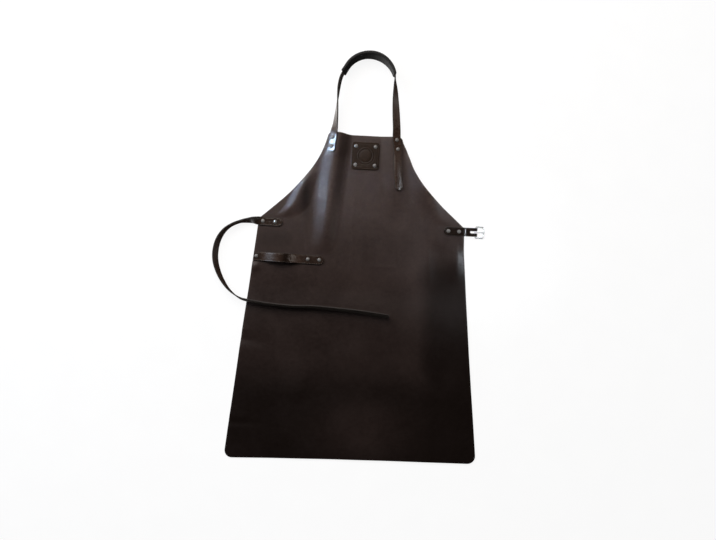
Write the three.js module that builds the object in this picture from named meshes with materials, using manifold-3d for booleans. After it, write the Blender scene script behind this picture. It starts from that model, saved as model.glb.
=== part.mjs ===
// Leather work apron lying front up: a panel with bib and skirt, a neck strap with a pad, a waist strap,
// a towel strap, a patch and a buckle on a folded tab, all held by double cap rivets.
// Millimetres, +Z up. The layout origin is the middle of the waist line, with the bib towards +Y.
import * as THREE from "three";
import { mergeVertices } from "three/addons/utils/BufferGeometryUtils.js";
import Module from "manifold-3d";

const wasm = await Module();
wasm.setup();

// Clearances
const GAP = 0.4;
const HOLE_CLEARANCE = 0.3;

// Front panel: bib, armholes and skirt, mirrored about its middle line
const PANEL_THICKNESS = 2;
const BIB_TOP = 212;
const BIB_HALF = 88.5;
const BIB_CORNER = 7;
const WAIST_HALF = 248;
const ARMHOLE_PULL = { half: 110, y: 115 };
const HEM = -575;
const HEM_HALF = 305;
const HEM_CORNER = 20;
const HEM_SKEW = { rise: 7, from: -300 };
const PANEL_COLUMNS = 26;
const ARMHOLE_ROWS = 23;
const CORNER_ROWS = 4;
const SIDE_ROWS = [-505, -420, -330, -240, -168, -150, -132, -106, -85, -74, -58, -40, -20];

// The back caps of the rivets hold the bib and the waist up from the surface below
const CAP_LIFT = { height: 1.5, full: -106, none: -168 };

// The buckle tab also has a layer under the panel, which lifts the right waist corner
const TAB_MOUND = { height: 3, left: 192, top: 9, bottom: -24, reach: 42 };

// Folds of the panel: crest place, height over the flat panel and reach of the two flanks
const FOLD_ROUNDING = 0.24;
const LEFT_RIDGE = [
  { y: 216, x: -64, height: 12.8, left: 34, right: 34 },
  { y: 176, x: -67, height: 12.2, left: 35.5, right: 35 },
  { y: 150, x: -71, height: 9.4, left: 40, right: 38 },
  { y: 102, x: -76, height: 10, left: 42, right: 38 },
  { y: 53, x: -79, height: 10.3, left: 41, right: 36 },
  { y: 5, x: -81, height: 10, left: 42, right: 34 },
  { y: -38, x: -83, height: 8.2, left: 43, right: 32 },
  { y: -56, x: -85, height: 5.2, left: 43, right: 32 },
  { y: -69, x: -87, height: 1.8, left: 43, right: 32 },
  { y: -81, x: -88, height: 0, left: 43, right: 32 },
];
const RIGHT_RIDGE = [
  { y: 216, x: 65, height: 6, left: 31, right: 27 },
  { y: 186, x: 68, height: 5.8, left: 32, right: 28 },
  { y: 136, x: 75, height: 4.6, left: 36, right: 34 },
  { y: 82, x: 82, height: 2.5, left: 36, right: 40 },
  { y: 32, x: 90, height: 0, left: 36, right: 40 },
];
const ARMHOLE_RIPPLE = [
  { y: 131, x: -121, height: 0, left: 14, right: 22 },
  { y: 95, x: -142, height: 4.5, left: 19, right: 30 },
  { y: 55, x: -158, height: 6.4, left: 22, right: 40 },
  { y: 34, x: -168, height: 5.8, left: 22, right: 40 },
  { y: 18, x: -181, height: 2.8, left: 22, right: 36 },
  { y: 6, x: -191, height: 0, left: 22, right: 34 },
];
const ARMHOLE_ROLL = [
  { y: 176, x: 112, height: 0, left: 26, right: 40 },
  { y: 150, x: 126, height: 6.5, left: 36, right: 40 },
  { y: 122, x: 144, height: 11.5, left: 48, right: 40 },
  { y: 96, x: 155, height: 13, left: 54, right: 40 },
  { y: 66, x: 164, height: 9, left: 52, right: 44 },
  { y: 34, x: 178, height: 4.5, left: 47, right: 44 },
  { y: 5, x: 200, height: 0, left: 44, right: 44 },
];
const SIDE_ROLL = [
  { y: -34, x: 232, height: 0, left: 40, right: 22 },
  { y: -80, x: 235, height: 4, left: 50, right: 24 },
  { y: -141, x: 239, height: 0, left: 50, right: 24 },
];

// Rounding of the folds' feet, as shares of their reach
const SHARP_FEET = { left: FOLD_ROUNDING, right: FOLD_ROUNDING };
const FOLDS = [
  { rows: LEFT_RIDGE, foot: { left: 0.4, right: 0.5 } },
  { rows: RIGHT_RIDGE, foot: SHARP_FEET },
  { rows: ARMHOLE_RIPPLE, foot: SHARP_FEET },
  { rows: ARMHOLE_ROLL, foot: { left: 0.6, right: FOLD_ROUNDING } },
  { rows: SIDE_ROLL, foot: SHARP_FEET },
];

// Straps. A row with no z rests on what lies below it, and a row with no roll lies flat on the panel.
const STRAP = { width: 20, thickness: 3, step: 12 };
const PAD_ARC = { x: 2, y: 343, radius: 63.3, from: 155, to: 12, step: 13 };
const PAD_HEIGHT = 20;
const PAD_ROLL = [
  { angle: 155, roll: 97 },
  { angle: 103, roll: 97 },
  { angle: 70, roll: 100 },
  { angle: 45, roll: 96.5 },
  { angle: 25, roll: 93 },
  { angle: 12, roll: 91 },
];
const NECK_STRAP_LEFT = [
  { x: -79.7, y: 169 },
  { x: -79.7, y: 182.5 },
  { x: -77.8, y: 204.8 },
  { x: -77, y: 214.5 },
  { x: -74.3, y: 236.7, z: 14.5, roll: 56 },
  { x: -72.2, y: 272.5, z: 17, roll: 76 },
  { x: -71.2, y: 304, z: 19.5, roll: 94 },
  { x: -69.8, y: 327, z: PAD_HEIGHT, roll: 103 },
  { x: -65.2, y: 350.5, z: PAD_HEIGHT, roll: 103 },
];
const NECK_STRAP_RIGHT = [
  { x: 64.8, y: 343.7, z: PAD_HEIGHT, roll: 78 },
  { x: 66.5, y: 324.5, z: 18.5, roll: 61 },
  { x: 68.1, y: 302, z: 15.5, roll: 46 },
  { x: 71.3, y: 266.2, z: 12.5, roll: 29 },
  { x: 74.4, y: 231.3, z: 11.2, roll: 24 },
  { x: 75.1, y: 214.5 },
  { x: 75.6, y: 206.2 },
  { x: 79, y: 183.8 },
  { x: 80.5, y: 159, roll: 16 },
  { x: 83, y: 122.6, roll: 15 },
  { x: 88, y: 85.2, roll: 14 },
];
const WAIST_STRAP = [
  { x: -190.8, y: -6.7 },
  { x: -208.8, y: -6.3 },
  { x: -238.2, y: -5.6 },
  { x: -245.4, y: -5.4 },
  { x: -256, y: -5.2, roll: 36 },
  { x: -269.3, y: -5.8, roll: 57 },
  { x: -292.9, y: -10.2, roll: 79 },
  { x: -315.9, y: -21, roll: 79 },
  { x: -331, y: -34.6, roll: 71 },
  { x: -343, y: -55.3, roll: 63 },
  { x: -348.9, y: -82, roll: 58 },
  { x: -348.1, y: -106, roll: 60 },
  { x: -341.3, y: -129.6, roll: 66 },
  { x: -329.4, y: -153.2, roll: 75 },
  { x: -310.8, y: -176.8, roll: 88 },
  { x: -284, y: -195.2, roll: 102 },
  { x: -257.9, y: -200.6, roll: 108 },
  { x: -219, y: -205.4, roll: 107 },
  { x: -161, y: -208.7, roll: 107 },
  { x: -103, y: -207.5, roll: 108 },
  { x: -45, y: -210.4, roll: 111 },
  { x: 13, y: -214.5, roll: 114 },
  { x: 79.5, y: -221.8, roll: 118 },
];

// Neck pad: a thick sleeve with rounded edges and a slot for the strap
const PAD = { width: 39.5, endWidth: 36, thickness: 9, endThickness: 6.4, taper: 0.12, bluntness: 0.5 };
const PAD_INSET = { start: 10, end: 4 };
const PAD_SIDES = 12;
const PAD_SECTIONS = 17;

// Towel strap: flat at both ends and bulging up between
const TOWEL = { left: -256.6, right: -86.5, y: -91, slope: -0.0157, width: 22, thickness: 3, rise: 13 };
const TOWEL_BULGE = { from: -243.5, to: -134.5 };
const TOWEL_STEP = 7;

// Patch on the bib
const PATCH = { x: 2.1, y: 164.6, side: 66, thickness: 2.5, corner: 7 };
const PATCH_PITCH = { x: 47, y: 45.4 };

// Buckle and the tab that is folded round its bar
const TAB = { left: 201, backLeft: 203.6, y: -7.6, width: 21, thickness: 2.5, spread: 254 };
const TAB_SLOT = { width: 5.6, left: 264.6, depth: 30 };
const BAR = { x: 277.9, z: 5.2 };
const WIRE = 1.9;
const FRAME = { reach: 20.4, height: 30, heelCorner: 2, toeCorner: 5, sides: 8 };
const FRAME_DROOP = Math.asin((BAR.z - WIRE) / FRAME.reach);
const PRONG = { ring: 3.6, width: 4.2, length: 23.4, root: 1.6, tip: 1.1, sides: 8 };

// Rivets: domed cap with a shoulder, post and thin back cap with a bevel
const RIVET = { cap: 4.5, rim: 0.5, shoulder: 2.7, shoulderHeight: 1.6, dome: 1.9, post: 1.6 };
const RIVET_BACK = { radius: 4.5, bevel: 0.9, thickness: 0.8 };
const RIVET_SIDES = 10;
const HOLE = { radius: RIVET.post + HOLE_CLEARANCE, length: 40 };

const UP = new THREE.Vector3(0, 0, 1);
const { degToRad, clamp, smoothstep, lerp } = THREE.MathUtils;

// Leather and metal
const leather = (color, roughness) => new THREE.MeshStandardMaterial({ color, roughness, metalness: 0 });
const panelLeather = () => leather(0x2b2320, 0.5);
const strapLeather = () => leather(0x241d1a, 0.5);
const padLeather = () => leather(0x161414, 0.6);
const patchLeather = () => leather(0x17120f, 0.4);
const nickel = () => new THREE.MeshStandardMaterial({ color: 0xc9cacc, roughness: 0.25, metalness: 1 });

// Smooth curve through the values of one column, at a place on the key column; flat past both ends
function along(rows, key, column, place) {
  const sign = Math.sign(rows[1][key] - rows[0][key]);
  if ((place - rows[0][key]) * sign <= 0) {
    return rows[0][column];
  }
  const last = rows.length - 1;
  if ((place - rows[last][key]) * sign >= 0) {
    return rows[last][column];
  }
  const after = rows.findIndex((row) => (row[key] - place) * sign > 0);
  const slope = (i) => {
    const low = rows[Math.max(i - 1, 0)];
    const high = rows[Math.min(i + 1, last)];
    return (high[column] - low[column]) / (high[key] - low[key]);
  };
  const [start, end] = [rows[after - 1], rows[after]];
  const span = end[key] - start[key];
  const t = (place - start[key]) / span;
  const rise = end[column] - start[column];
  const bend = (1 - t) * (slope(after - 1) * span - rise) - t * (slope(after) * span - rise);
  return start[column] + t * rise + t * (1 - t) * bend;
}

// Height of a fold, 1 on its crest and 0 at its foot: straight flanks between round crest and foot
function flank(u, foot) {
  const steep = 1 / (1 - (FOLD_ROUNDING + foot) / 2);
  if (u >= 1) {
    return 0;
  }
  if (u < FOLD_ROUNDING) {
    return 1 - (steep * u * u) / (2 * FOLD_ROUNDING);
  }
  if (u <= 1 - foot) {
    return 1 - steep * (u - FOLD_ROUNDING / 2);
  }
  return (steep * (1 - u) * (1 - u)) / (2 * foot);
}

function foldHeight({ rows, foot }, x, y) {
  const offset = x - along(rows, "y", "x", y);
  const side = offset < 0 ? "left" : "right";
  const share = flank(Math.abs(offset) / along(rows, "y", side, y), foot[side]);
  return Math.max(along(rows, "y", "height", y), 0) * share;
}

function moundHeight(x, y) {
  const beside = Math.max(TAB_MOUND.left - x, 0);
  const beyond = Math.max(y - TAB_MOUND.top, TAB_MOUND.bottom - y, 0);
  return TAB_MOUND.height * (1 - smoothstep(Math.hypot(beside, beyond), 0, TAB_MOUND.reach));
}

function underside(x, y) {
  const lift = CAP_LIFT.height * smoothstep(y, CAP_LIFT.none, CAP_LIFT.full);
  return FOLDS.reduce((height, fold) => height + foldHeight(fold, x, y), lift + moundHeight(x, y));
}

const grainSide = (x, y) => underside(x, y) + PANEL_THICKNESS;

function panelNormal(x, y) {
  const reach = 2;
  const slopeX = (grainSide(x + reach, y) - grainSide(x - reach, y)) / (2 * reach);
  const slopeY = (grainSide(x, y + reach) - grainSide(x, y - reach)) / (2 * reach);
  return new THREE.Vector3(-slopeX, -slopeY, 1).normalize();
}

// Half width of the panel: a curved armhole above the waist and a straight flare below it
function armhole(t) {
  const [a, b, c] = [(1 - t) * (1 - t), 2 * t * (1 - t), t * t];
  return {
    half: a * WAIST_HALF + b * ARMHOLE_PULL.half + c * BIB_HALF,
    y: b * ARMHOLE_PULL.y + c * BIB_TOP,
  };
}

const sideHalf = (y) => lerp(WAIST_HALF, HEM_HALF, y / HEM);

function halfWidth(y) {
  if (y < 0) {
    return sideHalf(y);
  }
  const bend = BIB_TOP - 2 * ARMHOLE_PULL.y;
  const root = Math.sqrt(ARMHOLE_PULL.y ** 2 + bend * Math.min(y, BIB_TOP));
  return armhole((root - ARMHOLE_PULL.y) / bend).half;
}

// Rows of the panel from hem to bib top, with round corners at both ends
function panelRows() {
  const corner = (radius, y, way) => {
    const turns = Array.from({ length: CORNER_ROWS }, (_, i) => (i / CORNER_ROWS) * (Math.PI / 2));
    return turns.map((turn) => {
      const height = y + way * radius * (1 - Math.cos(turn));
      return { y: height, half: halfWidth(height) - radius * (1 - Math.sin(turn)) };
    });
  };
  const hem = corner(HEM_CORNER, HEM, 1);
  const top = corner(BIB_CORNER, BIB_TOP, -1).reverse();
  const side = SIDE_ROWS.map((y) => ({ y, half: sideHalf(y) }));
  const bib = Array.from({ length: ARMHOLE_ROWS }, (_, i) => armhole(i / ARMHOLE_ROWS));
  return [...hem, ...side, ...bib.filter((row) => row.y < BIB_TOP - BIB_CORNER), ...top];
}

// The hem runs a little lower on the left
function skewed(x, y) {
  return y + HEM_SKEW.rise * (x / HEM_HALF) * smoothstep(-y, -HEM_SKEW.from, -HEM);
}

// A closed mesh from two matching grids of points, upper and lower, and the wall round their edge
function sheetGeometry(upper, lower) {
  const rows = upper.length;
  const columns = upper[0].length;
  const positions = [...upper.flat(), ...lower.flat()].flatMap((point) => point.toArray());
  const indices = [];
  const at = (i, j) => i * columns + j;
  const under = rows * columns;
  for (let i = 0; i < rows - 1; i += 1) {
    for (let j = 0; j < columns - 1; j += 1) {
      const [a, b, c, d] = [at(i, j), at(i, j + 1), at(i + 1, j + 1), at(i + 1, j)];
      indices.push(a, b, c, a, c, d);
      indices.push(under + a, under + c, under + b, under + a, under + d, under + c);
    }
  }
  const rim = [];
  for (let j = 0; j < columns - 1; j += 1) {
    rim.push([at(0, j), at(0, j + 1)], [at(rows - 1, j + 1), at(rows - 1, j)]);
  }
  for (let i = 0; i < rows - 1; i += 1) {
    rim.push([at(i, columns - 1), at(i + 1, columns - 1)], [at(i + 1, 0), at(i, 0)]);
  }
  rim.forEach(([a, b]) => indices.push(a, under + a, under + b, a, under + b, b));
  return meshGeometry(positions, indices);
}

function meshGeometry(positions, indices) {
  const geometry = new THREE.BufferGeometry();
  geometry.setAttribute("position", new THREE.Float32BufferAttribute(positions, 3));
  geometry.setIndex(indices);
  return geometry;
}

// Booleans on closed meshes
function solidOf(geometry) {
  const plain = geometry.clone();
  plain.deleteAttribute("normal");
  plain.deleteAttribute("uv");
  const merged = mergeVertices(plain, 1e-4);
  const mesh = new wasm.Mesh({
    numProp: 3,
    vertProperties: new Float32Array(merged.attributes.position.array),
    triVerts: new Uint32Array(merged.index.array),
  });
  return new wasm.Manifold(mesh);
}

function geometryOf(solid) {
  const mesh = solid.getMesh();
  return meshGeometry(Array.from(mesh.vertProperties), Array.from(mesh.triVerts));
}

function cut(geometry, cutters) {
  const body = cutters.reduce((solid, cutter) => solid.subtract(solidOf(cutter)), solidOf(geometry));
  return geometryOf(body);
}

// A strap is a row of sections: centre, unit vectors across and out of the grain side, half width, thickness
function ribbonGeometry(sections) {
  const edge = (section, side, face) =>
    section.centre
      .clone()
      .addScaledVector(section.across, side * section.half)
      .addScaledVector(section.normal, (face * section.thickness) / 2);
  const grid = (face) => sections.map((section) => [edge(section, -1, face), edge(section, 1, face)]);
  return sheetGeometry(grid(1), grid(-1));
}

// Unit vectors of a strap section from its way of travel and its roll about it
function sectionAxes(travel, roll) {
  const right = travel.clone().cross(UP).normalize();
  const over = right.clone().cross(travel);
  return {
    across: right.clone().multiplyScalar(Math.cos(roll)).addScaledVector(over, Math.sin(roll)),
    normal: over.clone().multiplyScalar(Math.cos(roll)).addScaledVector(right, -Math.sin(roll)),
  };
}

function flatRoll(x, y, travel) {
  const right = travel.clone().cross(UP).normalize();
  const over = right.clone().cross(travel);
  const normal = panelNormal(x, y);
  return Math.atan2(-normal.dot(right), normal.dot(over));
}

// Top of what a strap can rest on: the panel, a little past its edge too, or the surface below
function support(x, y) {
  const margin = STRAP.step;
  const overPanel = y < BIB_TOP + margin && Math.abs(x) < halfWidth(y) + margin;
  return overPanel ? grainSide(x, y) + GAP : 0;
}

// Lowest height at which a strap section clears what lies below it
function restHeight(x, y, axes, width, thickness) {
  let height = 0;
  for (const side of [-1, -0.5, 0, 0.5, 1]) {
    for (const face of [-1, 1]) {
      const offset = axes.across.clone().multiplyScalar((side * width) / 2);
      offset.addScaledVector(axes.normal, (face * thickness) / 2);
      height = Math.max(height, support(x + offset.x, y + offset.y) - offset.z);
    }
  }
  return height;
}

// Path of a strap through its table: places, heights and rolls worked out row by row, then smooth between
function strapPath(rows) {
  const stations = rows.map((row, i) => {
    const before = rows[Math.max(i - 1, 0)];
    const after = rows[Math.min(i + 1, rows.length - 1)];
    const travel = new THREE.Vector3(after.x - before.x, after.y - before.y, 0).normalize();
    const roll = row.roll === undefined ? flatRoll(row.x, row.y, travel) : degToRad(row.roll);
    const axes = sectionAxes(travel, roll);
    const z = row.z ?? restHeight(row.x, row.y, axes, STRAP.width, STRAP.thickness);
    return { roll, rests: row.z === undefined, point: new THREE.Vector3(row.x, row.y, z) };
  });
  const curve = new THREE.CatmullRomCurve3(stations.map((station) => station.point), false, "centripetal");
  curve.arcLengthDivisions = 40 * stations.length;
  return { stations, curve, length: curve.getLength() };
}

// Section of a strap at a distance from its start
function strapSection(path, distance, half) {
  const u = clamp(distance / path.length, 0, 1);
  const place = path.curve.getUtoTmapping(u) * (path.stations.length - 1);
  const travel = path.curve.getTangentAt(u);
  const centre = path.curve.getPointAt(u);
  const before = path.stations[Math.floor(place)];
  const after = path.stations[Math.ceil(place)];
  const axes = sectionAxes(travel, lerp(before.roll, after.roll, place % 1));
  if (path.stations[Math.round(place)].rests) {
    const lowest = restHeight(centre.x, centre.y, axes, STRAP.width, STRAP.thickness);
    centre.z = Math.max(centre.z, lowest);
  }
  return { centre, ...axes, half, thickness: STRAP.thickness };
}

// Distance of a table row from the start of its strap
function rowDistance(path, row) {
  const lengths = path.curve.getLengths();
  return lengths[Math.round((row / (path.stations.length - 1)) * (lengths.length - 1))];
}

// Evenly spaced numbers from one value to another, both included
function spaced(from, to, steps) {
  return Array.from({ length: steps + 1 }, (_, i) => lerp(from, to, i / steps));
}

// Distances and half widths along a strap with two round ends, with a section at each given mark
function strapStops(length, width, step, inner = []) {
  const radius = width / 2;
  const round = [30, 60].map(degToRad).map((turn) => ({
    distance: radius * (1 - Math.cos(turn)),
    half: radius * Math.sin(turn),
  }));
  const marks = [radius, ...inner, length - radius];
  const straight = [radius];
  for (let i = 1; i < marks.length; i += 1) {
    const steps = Math.max(Math.round((marks[i] - marks[i - 1]) / step), 1);
    straight.push(...spaced(marks[i - 1], marks[i], steps).slice(1));
  }
  const far = round.map((stop) => ({ ...stop, distance: length - stop.distance })).reverse();
  return [...round, ...straight.map((distance) => ({ distance, half: radius })), ...far];
}

function strapGeometry(path, marks) {
  const stops = strapStops(path.length, STRAP.width, STRAP.step, marks);
  return ribbonGeometry(stops.map((stop) => strapSection(path, stop.distance, stop.half)));
}

// Rivets: an axis on the panel, the height of the stack above it and the layers below it
function rivetSite(name, x, y, above, below = 0) {
  const axis = panelNormal(x, y);
  const root = new THREE.Vector3(x, y, grainSide(x, y));
  return { name, axis, root, above, below: PANEL_THICKNESS * axis.z + below };
}

function alongAxis(geometry, site) {
  geometry.rotateX(Math.PI / 2);
  geometry.applyQuaternion(new THREE.Quaternion().setFromUnitVectors(UP, site.axis));
  geometry.translate(...site.root.toArray());
  return geometry;
}

function rivetHole(site) {
  return alongAxis(new THREE.CylinderGeometry(HOLE.radius, HOLE.radius, HOLE.length, RIVET_SIDES), site);
}

function rivetGeometry(site) {
  const seat = site.above + GAP;
  const back = -site.below - GAP;
  const profile = [
    [0, back - RIVET_BACK.thickness],
    [RIVET_BACK.radius - RIVET_BACK.bevel, back - RIVET_BACK.thickness],
    [RIVET_BACK.radius, back],
    [RIVET.post, back],
    [RIVET.post, seat],
    [RIVET.cap, seat],
    [RIVET.cap, seat + RIVET.rim],
    [RIVET.shoulder, seat + RIVET.shoulderHeight],
    [0, seat + RIVET.dome],
  ];
  const points = profile.map(([radius, height]) => new THREE.Vector2(radius, height));
  return alongAxis(new THREE.LatheGeometry(points, RIVET_SIDES), site);
}

// Stack heights over the panel's grain side
const strapStack = GAP + STRAP.thickness;
const towelStack = GAP + TOWEL.thickness;
const patchStack = GAP + PATCH.thickness;
const tabStack = GAP + TAB.thickness;

// The towel strap runs a little downhill to the right
const towelY = (x) => TOWEL.y + TOWEL.slope * (x - TOWEL.left);

const site = {
  neckLeft: [
    rivetSite("rivet_neck_left_upper", -77.8, 204.8, strapStack),
    rivetSite("rivet_neck_left_lower", -79.7, 182.5, strapStack),
  ],
  neckRight: [
    rivetSite("rivet_neck_right_upper", 75.6, 206.2, strapStack),
    rivetSite("rivet_neck_right_lower", 79, 183.8, strapStack),
  ],
  waist: [
    rivetSite("rivet_waist_outer", -238.2, -5.6, strapStack),
    rivetSite("rivet_waist_inner", -208.8, -6.3, strapStack),
  ],
  towel: [
    rivetSite("rivet_towel_left", -249.8, towelY(-249.8), towelStack),
    rivetSite("rivet_towel_right_inner", -124.6, towelY(-124.6), towelStack),
    rivetSite("rivet_towel_right_outer", -97, towelY(-97), towelStack),
  ],
  tab: [
    rivetSite("rivet_tab_inner", 212, TAB.y, tabStack, tabStack),
    rivetSite("rivet_tab_outer", 237.8, TAB.y, tabStack, tabStack),
  ],
  patch: [],
};
for (const [high, upright] of [["upper", 1], ["lower", -1]]) {
  for (const [hand, sideways] of [["left", -1], ["right", 1]]) {
    const x = PATCH.x + (sideways * PATCH_PITCH.x) / 2;
    const y = PATCH.y + (upright * PATCH_PITCH.y) / 2;
    site.patch.push(rivetSite(`rivet_patch_${high}_${hand}`, x, y, patchStack));
  }
}
const allSites = Object.values(site).flat();
const neckSites = [...site.neckLeft, ...site.neckRight];

function panelGeometry() {
  const columns = Array.from({ length: PANEL_COLUMNS + 1 }, (_, j) => (2 * j) / PANEL_COLUMNS - 1);
  const plan = panelRows().map((row) =>
    columns.map((column) => {
      const x = row.half * column;
      return { x, y: skewed(x, row.y) };
    }),
  );
  const layer = (height) => plan.map((row) => row.map(({ x, y }) => new THREE.Vector3(x, y, height(x, y))));
  return cut(sheetGeometry(layer(grainSide), layer(underside)), allSites.map(rivetHole));
}

// Neck strap: up from the left bib corner, round the pad's arch and down to the right bib corner
function neckRows() {
  const turns = Math.round((PAD_ARC.from - PAD_ARC.to) / PAD_ARC.step);
  const arch = Array.from({ length: turns + 1 }, (_, i) => {
    const angle = lerp(PAD_ARC.from, PAD_ARC.to, i / turns);
    return {
      x: PAD_ARC.x + PAD_ARC.radius * Math.cos(degToRad(angle)),
      y: PAD_ARC.y + PAD_ARC.radius * Math.sin(degToRad(angle)),
      z: PAD_HEIGHT,
      roll: along(PAD_ROLL, "angle", "roll", angle),
    };
  });
  return { rows: [...NECK_STRAP_LEFT, ...arch, ...NECK_STRAP_RIGHT], archRows: arch.length };
}

const neck = neckRows();
const neckPath = strapPath(neck.rows);

// Distances along the neck strap at which the pad has its sections, inside the row before the arch and its last
function padStops() {
  const first = NECK_STRAP_LEFT.length - 1;
  const start = rowDistance(neckPath, first) + PAD_INSET.start;
  const end = rowDistance(neckPath, first + neck.archRows) - PAD_INSET.end;
  return spaced(start, end, PAD_SECTIONS - 1);
}

// Ring section of the pad: a blunt lens outside and the strap's slot inside
function padRing(section, share) {
  const swell = Math.sqrt(Math.sin(Math.PI * lerp(PAD.taper, 1 - PAD.taper, share)));
  const blunt = (value) => Math.sign(value) * Math.abs(value) ** PAD.bluntness;
  const fill = 2 * blunt(Math.cos(Math.PI / PAD_SIDES));
  const outer = {
    across: lerp(PAD.endWidth, PAD.width, swell) / fill,
    out: lerp(PAD.endThickness, PAD.thickness, swell) / fill,
  };
  const slot = { across: STRAP.width / 2 + GAP, out: STRAP.thickness / 2 + GAP };
  const loop = (size, shape) =>
    Array.from({ length: PAD_SIDES }, (_, i) => {
      const angle = ((i + 0.5) / PAD_SIDES) * 2 * Math.PI;
      const [across, out] = shape(Math.cos(angle), Math.sin(angle));
      return section.centre
        .clone()
        .addScaledVector(section.across, across * size.across)
        .addScaledVector(section.normal, out * size.out);
    });
  const box = (c, s) => [clamp(c * Math.SQRT2, -1, 1), clamp(s * Math.SQRT2, -1, 1)];
  return { outer: loop(outer, (c, s) => [blunt(c), blunt(s)]), inner: loop(slot, box) };
}

function padGeometry() {
  const rings = padStops().map((distance, i) =>
    padRing(strapSection(neckPath, distance, STRAP.width / 2), i / (PAD_SECTIONS - 1)),
  );
  const loops = [...rings.map((ring) => ring.outer), ...rings.map((ring) => ring.inner).reverse()];
  const positions = loops.flat().flatMap((point) => point.toArray());
  const indices = [];
  loops.forEach((_, i) => {
    const next = (i + 1) % loops.length;
    for (let k = 0; k < PAD_SIDES; k += 1) {
      const turn = (k + 1) % PAD_SIDES;
      const [a, b] = [i * PAD_SIDES + k, i * PAD_SIDES + turn];
      const [c, d] = [next * PAD_SIDES + turn, next * PAD_SIDES + k];
      indices.push(a, c, b, a, d, c);
    }
  });
  return meshGeometry(positions, indices);
}

// Waist strap: flat on the panel as far as its last flat row, then rolled up on its edge
function waistStrapGeometry() {
  const path = strapPath(WAIST_STRAP);
  const lastFlat = WAIST_STRAP.findIndex((row) => row.roll !== undefined) - 1;
  return cut(strapGeometry(path, [rowDistance(path, lastFlat)]), site.waist.map(rivetHole));
}

// Towel strap: one flat strap end, a smooth bulge and the other flat end
function towelGeometry() {
  const length = TOWEL.right - TOWEL.left;
  const base = grainSide(TOWEL.left, TOWEL.y) + GAP + TOWEL.thickness / 2;
  const height = (x) => {
    const share = clamp((x - TOWEL_BULGE.from) / (TOWEL_BULGE.to - TOWEL_BULGE.from), 0, 1);
    return base + TOWEL.rise * Math.sin(Math.PI * share) ** 2;
  };
  const sections = strapStops(length, TOWEL.width, TOWEL_STEP).map(({ distance, half }) => {
    const x = TOWEL.left + distance;
    const travel = new THREE.Vector3(1, TOWEL.slope, height(x + 0.5) - height(x - 0.5)).normalize();
    const squareEnd = distance < TOWEL.width / 2;
    return {
      centre: new THREE.Vector3(x, towelY(x), height(x)),
      ...sectionAxes(travel, 0),
      half: squareEnd ? TOWEL.width / 2 : half,
      thickness: TOWEL.thickness,
    };
  });
  return ribbonGeometry(sections);
}

// Patch: a plate with round corners, lying over the highest place of the panel under it
function patchGeometry() {
  const [half, corner] = [PATCH.side / 2, PATCH.corner];
  const shape = new THREE.Shape();
  [[1, 1, 0], [-1, 1, 90], [-1, -1, 180], [1, -1, 270]].forEach(([x, y, from]) => {
    const start = degToRad(from);
    shape.absarc(x * (half - corner), y * (half - corner), corner, start, start + Math.PI / 2);
  });
  shape.closePath();
  const extrusion = { depth: PATCH.thickness, bevelEnabled: false, curveSegments: CORNER_ROWS };
  const plate = new THREE.ExtrudeGeometry(shape, extrusion);
  const edge = [-half, 0, half];
  const heights = edge.flatMap((x) => edge.map((y) => grainSide(PATCH.x + x, PATCH.y + y)));
  plate.translate(PATCH.x, PATCH.y, Math.max(...heights) + GAP);
  return plate;
}

// Buckle tab: along the panel's grain side, round the bar and back under the panel
function tabGeometry() {
  const foldRadius = WIRE + GAP + TAB.thickness / 2;
  const stack = GAP + TAB.thickness / 2;
  const top = grainSide(TAB.left, TAB.y) + stack;
  const bottom = underside(TAB.left, TAB.y) - stack;
  const radius = TAB.width / 2;
  const rows = [30, 60, 90].map(degToRad).map((turn) => ({
    x: TAB.left + radius * (1 - Math.cos(turn)),
    z: top,
    half: radius * Math.sin(turn),
  }));
  rows.push({ x: TAB.spread, z: top, half: radius });
  spaced(90, -90, 2 * CORNER_ROWS).map(degToRad).forEach((turn) => {
    const [x, z] = [BAR.x + foldRadius * Math.cos(turn), BAR.z + foldRadius * Math.sin(turn)];
    rows.push({ x, z, half: radius });
  });
  rows.push({ x: TAB.spread, z: bottom, half: radius }, { x: TAB.backLeft, z: bottom, half: radius });
  const sections = rows.map((row, i) => {
    const before = rows[Math.max(i - 1, 0)];
    const after = rows[Math.min(i + 1, rows.length - 1)];
    const travel = new THREE.Vector3(after.x - before.x, 0, after.z - before.z).normalize();
    const across = new THREE.Vector3(0, -1, 0);
    return {
      centre: new THREE.Vector3(row.x, TAB.y, row.z),
      across,
      normal: across.clone().cross(travel),
      half: row.half,
      thickness: TAB.thickness,
    };
  });
  const slotLength = BAR.x + 2 * foldRadius - TAB_SLOT.left;
  const slot = new THREE.BoxGeometry(slotLength, TAB_SLOT.width, TAB_SLOT.depth);
  slot.translate(TAB_SLOT.left + slotLength / 2, TAB.y, BAR.z);
  return cut(ribbonGeometry(sections), [slot, ...site.tab.map(rivetHole)]);
}

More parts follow.
